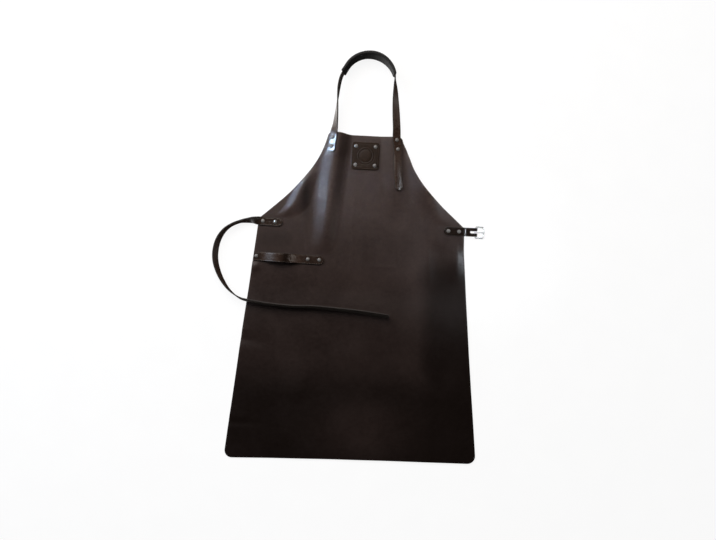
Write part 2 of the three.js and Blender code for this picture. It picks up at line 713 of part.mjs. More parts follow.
// Buckle frame: round wire along a closed rectangle with small corners at the bar and wide ones at the toe
function frameGeometry() {
  const half = FRAME.height / 2 - WIRE;
  const corners = [
    { x: 0, y: -half, radius: FRAME.heelCorner, from: 180 },
    { x: FRAME.reach, y: -half, radius: FRAME.toeCorner, from: 270 },
    { x: FRAME.reach, y: half, radius: FRAME.toeCorner, from: 0 },
    { x: 0, y: half, radius: FRAME.heelCorner, from: 90 },
  ];
  const stops = corners.flatMap(({ x, y, radius, from }) => {
    const centre = { x: Math.abs(x - radius), y: y - Math.sign(y) * radius };
    return spaced(from, from + 90, CORNER_ROWS).map((turn) => {
      const angle = degToRad(turn);
      return { x: centre.x + radius * Math.cos(angle), y: centre.y + radius * Math.sin(angle), angle };
    });
  });
  const positions = stops.flatMap(({ x, y, angle }) =>
    Array.from({ length: FRAME.sides }, (_, k) => {
      const turn = ((k + 0.5) / FRAME.sides) * 2 * Math.PI;
      const out = WIRE * Math.cos(turn);
      return [x + out * Math.cos(angle), y + out * Math.sin(angle), WIRE * Math.sin(turn)];
    }).flat(),
  );
  const indices = [];
  stops.forEach((_, i) => {
    const next = (i + 1) % stops.length;
    for (let k = 0; k < FRAME.sides; k += 1) {
      const turn = (k + 1) % FRAME.sides;
      const [a, b] = [i * FRAME.sides + k, i * FRAME.sides + turn];
      const [c, d] = [next * FRAME.sides + turn, next * FRAME.sides + k];
      indices.push(a, c, b, a, d, c);
    }
  });
  return meshGeometry(positions, indices);
}

// Prong: a ring round the bar and a tapering tongue that lies on the frame's toe
function prongGeometry() {
  const bore = WIRE + GAP;
  const side = PRONG.width / 2;
  const ringProfile = [
    [bore, -side],
    [PRONG.ring, -side],
    [PRONG.ring, side],
    [bore, side],
    [bore, -side],
  ];
  const ring = new THREE.LatheGeometry(
    ringProfile.map(([radius, height]) => new THREE.Vector2(radius, height)),
    2 * PRONG.sides,
  );
  const start = (bore + PRONG.ring) / 2;
  const tongue = new THREE.CylinderGeometry(PRONG.tip, PRONG.root, PRONG.length - start, PRONG.sides);
  tongue.rotateZ(-Math.PI / 2);
  tongue.translate((start + PRONG.length) / 2, 0, 0);
  return geometryOf(solidOf(ring).add(solidOf(tongue)));
}

function prongTilt() {
  const toe = new THREE.Vector2(FRAME.reach * Math.cos(FRAME_DROOP), -FRAME.reach * Math.sin(FRAME_DROOP));
  const clear = WIRE + PRONG.root + GAP;
  return Math.atan2(toe.y, toe.x) + Math.asin(clear / toe.length());
}

function named(name, geometry, material) {
  const mesh = new THREE.Mesh(geometry, material);
  mesh.name = name;
  return mesh;
}

// Assembly
const layout = new THREE.Group();
layout.add(
  named("apron_panel", panelGeometry(), panelLeather()),
  named("neck_strap", cut(strapGeometry(neckPath, padStops()), neckSites.map(rivetHole)), strapLeather()),
  named("neck_pad", padGeometry(), padLeather()),
  named("waist_strap", waistStrapGeometry(), strapLeather()),
  named("towel_strap", cut(towelGeometry(), site.towel.map(rivetHole)), strapLeather()),
  named("badge_patch", cut(patchGeometry(), site.patch.map(rivetHole)), patchLeather()),
  named("buckle_tab", tabGeometry(), strapLeather()),
);
allSites.forEach((place) => layout.add(named(place.name, rivetGeometry(place), nickel())));

const buckle = new THREE.Group();
buckle.position.set(BAR.x, TAB.y, BAR.z);
const frame = named("buckle_frame", frameGeometry(), nickel());
frame.rotation.y = FRAME_DROOP;
const prong = named("buckle_prong", prongGeometry(), nickel());
prong.rotation.y = -prongTilt();
buckle.add(frame, prong);
layout.add(buckle);

// The finished part stands with its origin under the middle of its box
const apron = new THREE.Group();
apron.add(layout);
const bounds = new THREE.Box3().setFromObject(apron, true);
const middle = bounds.getCenter(new THREE.Vector3());
layout.position.set(-middle.x, -middle.y, -bounds.min.z);

export default apron;
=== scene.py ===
import math

import bpy
import numpy as np
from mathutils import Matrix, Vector


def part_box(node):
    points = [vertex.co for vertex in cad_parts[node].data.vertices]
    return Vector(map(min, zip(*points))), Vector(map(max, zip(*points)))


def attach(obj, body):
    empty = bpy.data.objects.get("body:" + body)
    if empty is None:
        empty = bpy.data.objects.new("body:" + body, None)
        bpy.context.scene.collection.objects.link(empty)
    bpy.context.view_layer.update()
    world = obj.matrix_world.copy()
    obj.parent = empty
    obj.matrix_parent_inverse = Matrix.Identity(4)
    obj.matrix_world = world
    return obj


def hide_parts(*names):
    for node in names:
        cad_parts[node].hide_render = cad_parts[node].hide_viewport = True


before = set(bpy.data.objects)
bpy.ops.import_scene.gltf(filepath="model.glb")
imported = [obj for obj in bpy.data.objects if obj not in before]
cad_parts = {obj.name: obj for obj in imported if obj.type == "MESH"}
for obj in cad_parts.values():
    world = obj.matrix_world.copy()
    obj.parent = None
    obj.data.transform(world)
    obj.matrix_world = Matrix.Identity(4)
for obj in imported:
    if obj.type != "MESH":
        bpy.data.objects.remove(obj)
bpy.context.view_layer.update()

# Leather work apron lying front up. Lengths in this file are millimetres in the layout frame, whose
# origin is the middle of the waist line, until to_row() turns them into metres in the row frame.

GAP = 0.4
PANEL_THICKNESS = 2.0
PANEL_RIM = (0.6, 0.55)
BIB_TOP, BIB_HALF, BIB_CORNER = 212.0, 88.5, 7.0
WAIST_HALF = 248.0
ARMHOLE_PULL_HALF, ARMHOLE_PULL_Y = 110.0, 115.0
HEM, HEM_HALF, HEM_CORNER = -575.0, 305.0, 20.0
HEM_SKEW_RISE, HEM_SKEW_FROM = 7.0, -300.0
CAP_LIFT, CAP_LIFT_FULL, CAP_LIFT_NONE = 1.5, -106.0, -168.0
TAB_MOUND = {"height": 3.0, "left": 192.0, "top": 9.0, "bottom": -24.0, "reach": 42.0}
PANEL_STOPS = {"hem_corner": 12, "top_corner": 8, "side": 150, "armhole": 64, "across": 157}
SIDE_TOP = -2.0

# Uneven cut of the panel. Bulges of a side: reach, y, half height. Steps: reach, y of start and end.
TOP_RISE, BIB_RISE, BIB_RISE_FROM = 1.0, 4.2, 150.0
BIB_RISE_SPAN = (-30.0, -66.0)
RIGHT_BULGES = [(3.0, 20.0, 30.0), (-2.0, 100.0, 24.0)]
RIGHT_STEPS = [(-1.4, -20.0, -60.0), (3.0, -240.0, HEM)]
RIGHT_SHOULDER = {"reach": 3.4, "below": (130.0, 168.0), "above": (205.0, 178.0)}
LEFT_BULGES = [(-1.7, 25.0, 28.0)]
DRIFT_POWER = 4
HEM_RISE, HEM_END_DROP = 0.9, 2.4

# Folds of the panel: y, x of the crest, height, reach of the left flank, reach of the right flank
FOLD_ROUNDING = 0.24
LEFT_RIDGE = [
    (216, -64, 12.8, 34, 34), (176, -67, 12.2, 35.5, 35), (150, -71, 9.4, 40, 38), (102, -76, 10, 42, 38),
    (53, -79, 10.3, 41, 36), (5, -81, 9.6, 42, 34), (-36, -83, 7, 43, 34), (-54, -85, 4.2, 43, 36),
    (-68, -87, 1.6, 43, 38), (-81, -88, 0, 43, 40),
]
RIGHT_RIDGE = [
    (216, 65, 6, 31, 27), (186, 68, 5.8, 32, 28), (136, 75, 4.6, 36, 34), (82, 82, 2.5, 36, 40),
    (32, 90, 0, 36, 40),
]
ARMHOLE_RIPPLE = [
    (131, -121, 0, 14, 22), (95, -142, 4.5, 19, 30), (55, -158, 6.4, 22, 40), (34, -168, 5.8, 22, 40),
    (18, -181, 2.8, 22, 36), (6, -191, 0, 22, 34),
]
ARMHOLE_ROLL = [
    (176, 112, 0, 26, 40), (150, 126, 6.5, 36, 40), (122, 144, 11.5, 48, 40), (96, 155, 13, 54, 40),
    (66, 164, 9, 52, 44), (34, 178, 4.5, 47, 44), (5, 200, 0, 44, 44),
]
SIDE_ROLL = [(-34, 232, 0, 40, 22), (-80, 235, 4, 50, 24), (-141, 239, 0, 50, 24)]
# Each fold with the rounding of its left and right foot
FOLD_FEET = [
    (LEFT_RIDGE, 0.4, 0.5), (RIGHT_RIDGE, FOLD_ROUNDING, FOLD_ROUNDING),
    (ARMHOLE_RIPPLE, FOLD_ROUNDING, FOLD_ROUNDING), (ARMHOLE_ROLL, 0.6, FOLD_ROUNDING),
    (SIDE_ROLL, FOLD_ROUNDING, FOLD_ROUNDING),
]
FOLDS = [(np.array(rows[::-1], float), left, right) for rows, left, right in FOLD_FEET]

# Fine creases: start, end, height, half width. They fade at both ends and wander: reach and period.
CREASES = [
    ((-23, 69), (-19, -114), 0.4, 5.0),
    ((164, 29), (173, -153), 0.4, 5.0),
    ((7, -105), (100, -100), 0.35, 5.0),
]
CREASE_OUTSIDE, CREASE_INSIDE = 5.0, 30.0
CREASE_WANDER = [(1.5, 19.0), (0.8, 7.3)]

# Sway of the skirt. Swells: height, x, y, half width in x and in y.
SKIRT_SPAN = (-150.0, -225.0)
HUMP = {"height": 1.6, "y": -247.0, "slope": -0.03, "half": 55.0, "span": (-160.0, -200.0)}
RIGHT_SWELL = {"height": 2.2, "x": 143.0, "y": -130.0, "slope": -0.044, "left": 130.0, "right": 150.0}
SKIRT_SWELLS = [(1.1, -12.0, -325.0, 85.0, 40.0), (1.2, 40.0, -470.0, 75.0, 50.0)]
EDGE_KNOB = (3.5, -252.0, -117.0, 10.0, 10.0)
# Pinches of the left edge: height, y, half height of swell and of pinch, slope of the pinch
LEFT_SPAN, PINCH_X = (-190.0, -285.0), -273.0
PINCHES = [(4.0, -292.0, 48.0, 15.0, -0.18), (2.0, -497.0, 30.0, 9.0, 0.0)]
HEM_WAVE = {"height": 1.3, "from": -520.0, "period": 26.0, "start": 0.7, "half": 150.0}
# Crossed waves: share, then period in x, period in y and start of the two that are multiplied
WAVES = [(1.0, (47, 83, 0.6), (-140, 61, 1.9)), (0.6, (29, -37, 2.4), (math.inf, 33, 0.8))]
WAVE_HEIGHT, WAVE_BASE = 0.45, 1.6

# Rubbed finish of the panel: share and half width, and the height of a crest that is rubbed in full
EDGE_RUB, EDGE_RUB_HALF = 0.8, 4.0
CREST_RUB, CREST_RUB_HALF, CREST_RUB_HEIGHT = 0.5, 7.0, 10.0

# Darker places of the panel, as shares. Steps: share, y of start and end. Spots: share, x, y and half
# widths.
RIGHT_SHADE = {"share": 0.95, "x": (95.0, 198.0), "y": (15.0, -125.0)}
HEMWARD_SHADE = [(0.28, 60.0, -40.0), (0.22, -120.0, -210.0), (0.46, -320.0, -430.0)]
HEM_LIGHT = (0.55, 35.0, -500.0, 105.0, 70.0)
HIP_SHADE = {"share": 0.55, "x": -205.0, "half_x": 52.0, "y": -47.0, "half_y": 30.0}
# Painted shade: the valley between the armhole ripple and the left ridge, and the left ridge's right flank
VALLEY_PAINTED_SHADE = (0.97, -137.0, 62.0, 13.0, 45.0)
RIDGE_PAINTED_SHADE = {"share": 0.55, "beside": 19.0, "half": 14.0, "y": (20.0, 80.0)}

# Straps: x, y, then z and roll where given. None for z rests on what lies below, None for roll lies flat.
STRAP_WIDTH, STRAP_THICKNESS, STRAP_STEP = 20.0, 3.0, 2.5
PAD_ARC = {"x": 2.0, "y": 343.0, "radius": 63.3, "from": 155.0, "to": 12.0, "step": 13.0}
PAD_HEIGHT = 20.0
# Roll of the neck strap round the arch: angle on the arch and roll there
PAD_ROLL = [(12, 91), (25, 93), (45, 96.5), (70, 100), (103, 97), (155, 97)]
NECK_STRAP_LEFT = [
    (-79.7, 169, None, None), (-79.7, 182.5, None, None), (-77.8, 204.8, None, None),
    (-77, 214.5, None, None), (-74.3, 236.7, 14.5, 56), (-72.2, 272.5, 17, 76), (-71.2, 304, 19.5, 94),
    (-69.8, 327, PAD_HEIGHT, 103), (-65.2, 350.5, PAD_HEIGHT, 103),
]
NECK_STRAP_RIGHT = [
    (64.8, 343.7, PAD_HEIGHT, 78), (66.5, 324.5, 18.5, 61), (68.1, 302, 15.5, 46), (71.3, 266.2, 12.5, 29),
    (74.4, 231.3, 11.2, 24), (75.1, 214.5, None, None), (75.6, 206.2, None, None), (79, 183.8, None, None),
    (80.5, 159, None, 16), (83, 122.6, None, 15), (88, 85.2, None, 14),
]
TAIL_ROWS, TAIL_CURL, TAIL_CURL_REACH = 4, 2.5, 25.0
WAIST_STRAP = [
    (-190.8, -6.7, None, None), (-208.8, -6.3, None, None), (-238.2, -5.6, None, None),
    (-245.4, -5.4, None, None), (-256, -5.2, None, 36), (-269.3, -5.8, None, 57), (-292.9, -10.2, None, 79),
    (-315.9, -21, None, 79), (-331, -34.6, None, 71), (-343, -55.3, None, 63), (-348.9, -82, None, 58),
    (-348.1, -106, None, 60), (-341.3, -129.6, None, 66), (-329.4, -153.2, None, 75),
    (-310.8, -176.8, None, 88), (-284, -195.2, None, 102), (-257.9, -200.6, None, 108),
    (-219, -205.4, None, 107), (-161, -208.7, None, 107), (-103, -207.5, None, 108),
    (-45, -210.4, None, 111), (13, -214.5, None, 114), (79.5, -221.8, None, 118),
]
WAIST_SHADE = 0.55
TOWEL = {"left": -256.6, "right": -86.5, "y": -91.0, "slope": -0.0157, "width": 22.0, "thickness": 3.0,
         "rise": 13.0, "step": 2.0}
TOWEL_BULGE = (-243.5, -134.5)
# Painted shade of the towel strap, on its bulge's top and flat ends. Middle: share, x, half width. Ends:
# share, x of start and end.
TOWEL_MIDDLE_PAINTED_SHADE = (0.95, -178.0, 12.0)
TOWEL_END_PAINTED_SHADE = [(0.5, -147.0, -136.0), (0.5, -232.0, -242.0)]
SUPPORT_MARGIN = 12.0
ROLL_WINDOW, HEIGHT_WINDOW = 15, 9

# Neck pad and its stitches
PAD = {"width": 39.5, "end_width": 36.0, "thickness": 8.2, "end_thickness": 5.6, "taper": 0.12, "blunt": 10}
PAD_INSET_START, PAD_INSET_END = 10.0, 4.0
PAD_SEAM, PAD_GROOVE, PAD_GROOVE_HALF = 4.2, 0.75, 0.9
PAD_STEP, PAD_END, PAD_END_STOPS, PAD_END_TAPER = 2.0, 4.0, 6, 1.5
PAD_LIP, PAD_SLOT_CLEARANCE = 0.45, 0.2
PAD_PULL, PAD_PULL_WAVE = 0.8, 0.35
PAD_RUB_HALF = 1.2
PAD_INNER = [0.0, 2.2, 4.4, 6.6, 8.6, 10.4, 11.8]
PAD_NEAR_EDGE = [6.0, 5.3, 4.8, 4.4, 4.0, 3.6, 3.1, 2.4, 1.6, 0.9, 0.4, 0.12]
STITCH = {"pitch": 5.0, "length": 3.9, "radius": 0.42, "sides": 8}
# A stitch: place, swell and lift
STITCH_PROFILE = [
    (-0.5, 0.05, -0.5), (-0.46, 0.75, -0.1), (-0.3, 1.0, 0.2), (0.0, 1.05, 0.32), (0.3, 1.0, 0.2),
    (0.46, 0.75, -0.1), (0.5, 0.05, -0.5),
]

# Patch, its tooling and the relief of its medallion
PATCH = {"x": 2.1, "y": 164.6, "side": 66.0, "thickness": 2.5, "corner": 7.0}
PATCH_PITCH_X, PATCH_PITCH_Y = 47.0, 45.4
PATCH_STOPS = {"corner": 9, "side": 112, "across": 141}
PATCH_RIM = (0.25, 0.6)
PATCH_LINE = {"depth": 0.35, "inset": 3.6, "half": 0.7, "clear": (6.0, 7.0)}
BEADS = {"radius": 18.6, "half": 1.5, "height": 0.5, "count": 40, "mean": 0.55, "swing": 0.45}
MEDALLION_GROOVES = {"radii": (21.3, 15.8), "depth": 0.45, "half": 0.8}
DOME = {"radius": 15.4, "height": 0.9, "power": 0.7}
MEDALLION_CLEAR = (5.5, 6.5)
PATCH_DENT, PATCH_DENT_SPAN = 0.3, (6.0, 4.0)
PATCH_EDGE_DROP, PATCH_EDGE_HALF = 0.25, 0.5
PATCH_RUB = {"edge": 0.55, "edge_half": 1.5, "raised": 0.35, "raised_full": 0.6}

# Buckle, prong and tab
TAB = {"left": 201.0, "back_left": 203.6, "y": -7.6, "width": 21.0, "thickness": 2.5, "spread": 254.0,
       "step": 2.0, "ease_stops": 9, "fold_stops": 17, "shade": 0.9}
TAB_SLOT = {"width": 5.6, "left": 264.6, "depth": 30.0, "stops": 13}
TAB_DIP = {"x": 257.0, "depth": 1.3, "half": 4.5}
BAR_X, BAR_Z = 277.9, 5.2
WIRE, WIRE_FLATNESS, WIRE_SIDES, WIRE_CORNER_STOPS = 1.9, 0.94, 20, 13
BUCKLE = {"reach": 20.4, "height": 30.0, "heel_corner": 2.0, "toe_corner": 5.0}
DROOP = math.asin((BAR_Z - WIRE) / BUCKLE["reach"])
PRONG = {"root": 1.6, "tip_half": 0.9, "tip_thick": 0.85, "end_half": 0.55, "end_thick": 0.5,
         "strip_half": 2.0, "strip_thick": 0.62, "widening": 1.2, "squareness": 0.75, "sides": 16}
# The tongue from its tip, along and up, then its ring round the bar: radius, angles and stops
TONGUE = [
    (23.4, -0.1), (22.4, 0.0), (20.0, 0.12), (16.0, 0.45), (12.0, 0.95), (8.0, 1.6), (5.0, 2.2),
    (2.5, 2.72),
]
PRONG_RING, PRONG_WRAP, PRONG_WRAP_STOPS = 2.95, (90, 385), 34

# Rivets: radius and height of the cap over the leather, and of the back cap under it
CAP_PROFILE = [
    (4.3, -0.5), (4.5, -0.25), (4.5, 0.28), (4.36, 0.5), (4.1, 0.62), (3.5, 1.02), (2.9, 1.4), (2.2, 1.66),
    (1.4, 1.82), (0.65, 1.89),
]
BACK_PROFILE = [(0.7, -0.8), (2.4, -0.8), (3.5, -0.78), (4.1, -0.62), (4.45, -0.3), (4.5, 0.1), (4.3, 0.3)]
RIVET_POST, RIVET_SIDES, RIVET_CROWN = 1.6, 32, 0.01
# A rivet's rings of points start square to this direction
RIVET_START = [0.3, 1.0, 0.2]
RIVET_DENT = {"depth": 0.35, "span": (9.0, 3.5)}

# The badge patch's node tells where the layout frame lies in the row frame
patch_low, patch_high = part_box("badge_patch")
SHIFT = np.array([
    500 * (patch_low.x + patch_high.x) - PATCH["x"],
    500 * (patch_low.y + patch_high.y) - PATCH["y"],
    0.0,
])


def to_row(points):
    return (np.asarray(points, float) + SHIFT) / 1000


def smoothstep(value, low, high):
    t = np.clip((value - low) / (high - low), 0, 1)
    return t * t * (3 - 2 * t)


def stepped(value, steps):
    """Sum of smooth steps: height, start and end of each."""
    return sum(height * smoothstep(value, start, end) for height, start, end in steps)


def bell(value, middle, half):
    return np.exp(-(((value - middle) / half) ** 2))


def swell(x, y, height, middle_x, middle_y, half_x, half_y):
    return height * bell(x, middle_x, half_x) * bell(y, middle_y, half_y)


# Panel surface
def along(rows, column, at):
    """Smooth curve through one column of a fold's rows, flat past both ends."""
    keys, values = rows[:, 0], rows[:, column]
    last = len(keys) - 1
    low, high = np.maximum(np.arange(last + 1) - 1, 0), np.minimum(np.arange(last + 1) + 1, last)
    slopes = (values[high] - values[low]) / (keys[high] - keys[low])
    i = np.clip(np.searchsorted(keys, at, side="right") - 1, 0, last - 1)
    span = keys[i + 1] - keys[i]
    t = np.clip((at - keys[i]) / span, 0, 1)
    rise = values[i + 1] - values[i]
    bend = (1 - t) * (slopes[i] * span - rise) - t * (slopes[i + 1] * span - rise)
    return values[i] + t * rise + t * (1 - t) * bend


def flank(u, foot):
    """Height of a fold, 1 on its crest and 0 at its foot: a straight flank between round crest and foot."""
    steep = 1 / (1 - (FOLD_ROUNDING + foot) / 2)
    crest = 1 - steep * u * u / (2 * FOLD_ROUNDING)
    side = 1 - steep * (u - FOLD_ROUNDING / 2)
    end = steep * (1 - u) ** 2 / (2 * foot)
    inner = np.where(u < FOLD_ROUNDING, crest, np.where(u <= 1 - foot, side, end))
    return np.where(u >= 1, 0, inner)


def fold_height(rows, left_foot, right_foot, x, y):
    offset = x - along(rows, 1, y)
    left = flank(np.abs(offset) / along(rows, 3, y), left_foot)
    right = flank(np.abs(offset) / along(rows, 4, y), right_foot)
    return np.maximum(along(rows, 2, y), 0) * np.where(offset < 0, left, right)


def crest_wear(x, y):
    """Share of rubbed finish along the crests of the folds."""
    total = np.zeros_like(x)
    for rows, _, _ in FOLDS:
        full = np.clip(along(rows, 2, y) / CREST_RUB_HEIGHT, 0, 1)
        total += full * bell(x, along(rows, 1, y), CREST_RUB_HALF)
    return np.clip(total, 0, 1)


def crease_height(x, y):
    total = np.zeros_like(x)
    for (x0, y0), (x1, y1), height, half in CREASES:
        length = math.hypot(x1 - x0, y1 - y0)
        run = ((x - x0) * (x1 - x0) + (y - y0) * (y1 - y0)) / length
        wander = sum(reach * np.sin(run / period) for reach, period in CREASE_WANDER)
        beside = ((x - x0) * (y1 - y0) - (y - y0) * (x1 - x0)) / length + wander
        start = smoothstep(run, -CREASE_OUTSIDE, CREASE_INSIDE)
        end = smoothstep(run, length + CREASE_OUTSIDE, length - CREASE_INSIDE)
        total += height * start * end * bell(beside, 0, half)
    return total


def wave(x, y, period_x, period_y, start):
    return np.sin(x / period_x + y / period_y + start)


def sway(x, y):
    """Broad shallow undulation of the skirt and its left and right edges."""
    hump = HUMP["height"] * bell(y, HUMP["y"] + HUMP["slope"] * x, HUMP["half"])
    hump = hump * smoothstep(y, *HUMP["span"])
    beside = x - RIGHT_SWELL["x"] - RIGHT_SWELL["slope"] * (y - RIGHT_SWELL["y"])
    inner, outer = bell(beside, 0, RIGHT_SWELL["left"]), smoothstep(beside, RIGHT_SWELL["right"], 0)
    right = RIGHT_SWELL["height"] * np.where(beside < 0, inner, outer)
    left = sum(
        height * bell(y, at, half) * (1 - bell(y, at + slope * (x - PINCH_X), pinch))
        for height, at, half, pinch, slope in PINCHES
    )
    waves = sum(share * wave(x, y, *one) * wave(x, y, *other) for share, one, other in WAVES)
    swing = 0.5 + 0.5 * np.sin(x / HEM_WAVE["period"] + HEM_WAVE["start"])
    hem_wave = HEM_WAVE["height"] * smoothstep(y, HEM_WAVE["from"], HEM)
    hem_wave = hem_wave * swing * bell(x, 0, HEM_WAVE["half"])
    skirt = right + WAVE_HEIGHT * (waves + WAVE_BASE) + sum(swell(x, y, *row) for row in SKIRT_SWELLS)
    edges = left * smoothstep(x, *LEFT_SPAN) + hem_wave + swell(x, y, *EDGE_KNOB)
    return hump + edges + skirt * smoothstep(y, *SKIRT_SPAN)


def mound(x, y):
    beside = np.maximum(TAB_MOUND["left"] - x, 0)
    beyond = np.maximum(np.maximum(y - TAB_MOUND["top"], TAB_MOUND["bottom"] - y), 0)
    return TAB_MOUND["height"] * (1 - smoothstep(np.hypot(beside, beyond), 0, TAB_MOUND["reach"]))


def underside(x, y):
    x, y = np.asarray(x, float), np.asarray(y, float)
    lift = CAP_LIFT * smoothstep(y, CAP_LIFT_NONE, CAP_LIFT_FULL)
    total = lift + mound(x, y) + sway(x, y) + crease_height(x, y)
    for rows, left_foot, right_foot in FOLDS:
        total = total + fold_height(rows, left_foot, right_foot, x, y)
    return total


def grain_side(x, y):
    return underside(x, y) + PANEL_THICKNESS


def panel_normal(x, y):
    reach = 2.0
    slope_x = (grain_side(x + reach, y) - grain_side(x - reach, y)) / (2 * reach)
    slope_y = (grain_side(x, y + reach) - grain_side(x, y - reach)) / (2 * reach)
    normal = np.array([-float(slope_x), -float(slope_y), 1.0])
    return normal / np.linalg.norm(normal)


def armhole(t):
    a, b, c = (1 - t) ** 2, 2 * t * (1 - t), t * t
    return b * ARMHOLE_PULL_Y + c * BIB_TOP, a * WAIST_HALF + b * ARMHOLE_PULL_HALF + c * BIB_HALF


def half_width(y):
    y = np.asarray(y, float)
    side = WAIST_HALF + (HEM_HALF - WAIST_HALF) * y / HEM
    bend = BIB_TOP - 2 * ARMHOLE_PULL_Y
    root = np.sqrt(ARMHOLE_PULL_Y ** 2 + bend * np.clip(y, 0, BIB_TOP))
    return np.where(y < 0, side, armhole((root - ARMHOLE_PULL_Y) / bend)[1])


# Mesh making. The rounded cut edge of a sheet: share of its bulge, share of its bevel
RIM_PROFILE = [(0.75, 0.3), (1.0, 1.0)]


def make_piece(name, points, faces, materials, kinds=None, values=None):
    """An object from layout points and faces, with each face's material number and each point's values."""
    mesh = bpy.data.meshes.new(name)
    mesh.from_pydata(to_row(points).tolist(), [], faces)
    for material in materials:
        mesh.materials.append(material)
    if kinds is not None:
        mesh.polygons.foreach_set("material_index", np.asarray(kinds, np.int32))
    mesh.polygons.foreach_set("use_smooth", np.ones(len(faces), bool))
    for key, numbers in (values or {}).items():
        layer = mesh.attributes.new(key, "FLOAT", "POINT")
        layer.data.foreach_set("value", np.asarray(numbers, np.float32))
    mesh.update()
    piece = bpy.data.objects.new(name, mesh)
    bpy.context.scene.collection.objects.link(piece)
    return piece


def place(piece, body, slot, *nodes):
    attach(piece, body)
    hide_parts(*nodes)
    return piece


def round_turns(sides):
    return np.arange(sides) / sides * 2 * math.pi


def tube_faces(rings, sides, start=0, closed=False, flip=False):
    """Faces between rings of points that follow each other, and from the last to the first if closed."""
    faces = []
    for i in range(rings if closed else rings - 1):
        one, two = start + i * sides, start + (i + 1) % rings * sides
        for k in range(sides):
            turn = (k + 1) % sides
            face = [one + k, one + turn, two + turn, two + k]
            faces.append([face[0], *face[:0:-1]] if flip else face)
    return faces


def end_caps(rings, sides, start=0, flip=False):
    first = list(range(start, start + sides))
    last = [k + (rings - 1) * sides for k in first]
    return [first, last[::-1]] if flip else [first[::-1], last]


def grid_faces(rows, columns, start=0, flip=False):
    i, j = np.meshgrid(np.arange(rows - 1), np.arange(columns - 1), indexing="ij")
    a = (start + i * columns + j).ravel()
    quads = np.stack([a, a + 1, a + 1 + columns, a + columns], axis=1)
    return (quads[:, ::-1] if flip else quads).tolist()


def rim_of(rows, columns):
    """Numbers of a grid's edge points, once round, anticlockwise from above."""
    bottom = list(range(columns - 1))
    right = [i * columns + columns - 1 for i in range(rows - 1)]
    top = [(rows - 1) * columns + j for j in range(columns - 1, 0, -1)]
    left = [i * columns for i in range(rows - 1, 0, -1)]
    return np.array(bottom + right + top + left)


def sheet_piece(name, x, y, top, bottom, materials, edge, values):
    """A closed sheet from a plan grid and two heights, its cut edge rounded: edge is bulge and bevel."""
    rows, columns = x.shape
    count = rows * columns
    upper = np.stack([x.ravel(), y.ravel(), top.ravel()], axis=1)
    lower = np.stack([x.ravel(), y.ravel(), bottom.ravel()], axis=1)
    rim = rim_of(rows, columns)
    plan = upper[rim, :2]
    tangent = np.roll(plan, -1, axis=0) - np.roll(plan, 1, axis=0)
    outward = unit(np.stack([tangent[:, 1], -tangent[:, 0]], axis=1))
    bulge, bevel = edge
    rings = [(out, upper[rim, 2] - down * bevel) for out, down in RIM_PROFILE]
    rings += [(out, lower[rim, 2] + up * bevel) for out, up in RIM_PROFILE[::-1]]
    points = [np.column_stack([plan + outward * (bulge * out), height]) for out, height in rings]
    faces = grid_faces(rows, columns) + grid_faces(rows, columns, count, flip=True)
    kinds = [0] * ((rows - 1) * (columns - 1)) + [1] * ((rows - 1) * (columns - 1))
    n = len(rim)
    loops = [rim] + [2 * count + k * n + np.arange(n) for k in range(len(rings))] + [count + rim]
    for k, (high, low) in enumerate(zip(loops[:-1], loops[1:])):
        faces += np.stack([high, low, np.roll(low, -1), np.roll(high, -1)], axis=1).tolist()
        kinds += [0 if k == 0 else 2] * n
    spread = {}
    for key, grid in values.items():
        flat = grid.ravel()
        spread[key] = np.concatenate([flat, flat, *[flat[rim]] * len(rings)])
    return make_piece(name, np.concatenate([upper, lower, *points]), faces, materials, kinds, spread)


# Straps
def catmull_rom(points, per_segment=40):
    """Centripetal curve through points: places along it as row numbers, and its points."""
    padded = np.concatenate([[2 * points[0] - points[1]], points, [2 * points[-1] - points[-2]]])
    steps = np.sqrt(np.linalg.norm(np.diff(padded, axis=0), axis=1))
    t = np.linspace(0, 1, per_segment, endpoint=False)[:, None]
    found = []
    for i in range(len(points) - 1):
        p0, p1, p2, p3 = padded[i:i + 4]
        d0, d1, d2 = steps[i:i + 3]
        m1 = d1 * ((p1 - p0) / d0 - (p2 - p0) / (d0 + d1) + (p2 - p1) / d1)
        m2 = d1 * ((p2 - p1) / d1 - (p3 - p1) / (d1 + d2) + (p3 - p2) / d2)
        square = 3 * (p2 - p1) - 2 * m1 - m2
        cube = 2 * (p1 - p2) + m1 + m2
        found.append(p1 + m1 * t + square * t ** 2 + cube * t ** 3)
    found.append(points[-1:])
    places = np.arange(len(points) * per_segment - per_segment + 1) / per_segment
    return places, np.concatenate(found)


def unit(vectors):
    return vectors / np.linalg.norm(vectors, axis=-1, keepdims=True)


def section_axes(travel, roll):
    right = unit(np.cross(travel, [0, 0, 1]))
    over = np.cross(right, travel)
    c, s = np.cos(roll)[..., None], np.sin(roll)[..., None]
    return right * c + over * s, over * c - right * s


def support(x, y):
    over = (y < BIB_TOP + SUPPORT_MARGIN) & (np.abs(x) < half_width(y) + SUPPORT_MARGIN)
    return np.where(over, grain_side(x, y) + GAP, 0)


def rest_height(centre, across, normal):
    """Lowest height at which strap sections clear what lies below them."""
    height = np.zeros(len(centre))
    for side in (-1, -0.5, 0, 0.5, 1):
        for face in (-1, 1):
            offset = across * (side * STRAP_WIDTH / 2) + normal * (face * STRAP_THICKNESS / 2)
            below = support(centre[:, 0] + offset[:, 0], centre[:, 1] + offset[:, 1])
            height = np.maximum(height, below - offset[:, 2])
    return height


def smoothed(values, window):
    kernel = np.hanning(window + 2)[1:-1]
    kernel /= kernel.sum()
    edge = window // 2
    return np.convolve(np.pad(values, edge, mode="edge"), kernel, mode="valid")


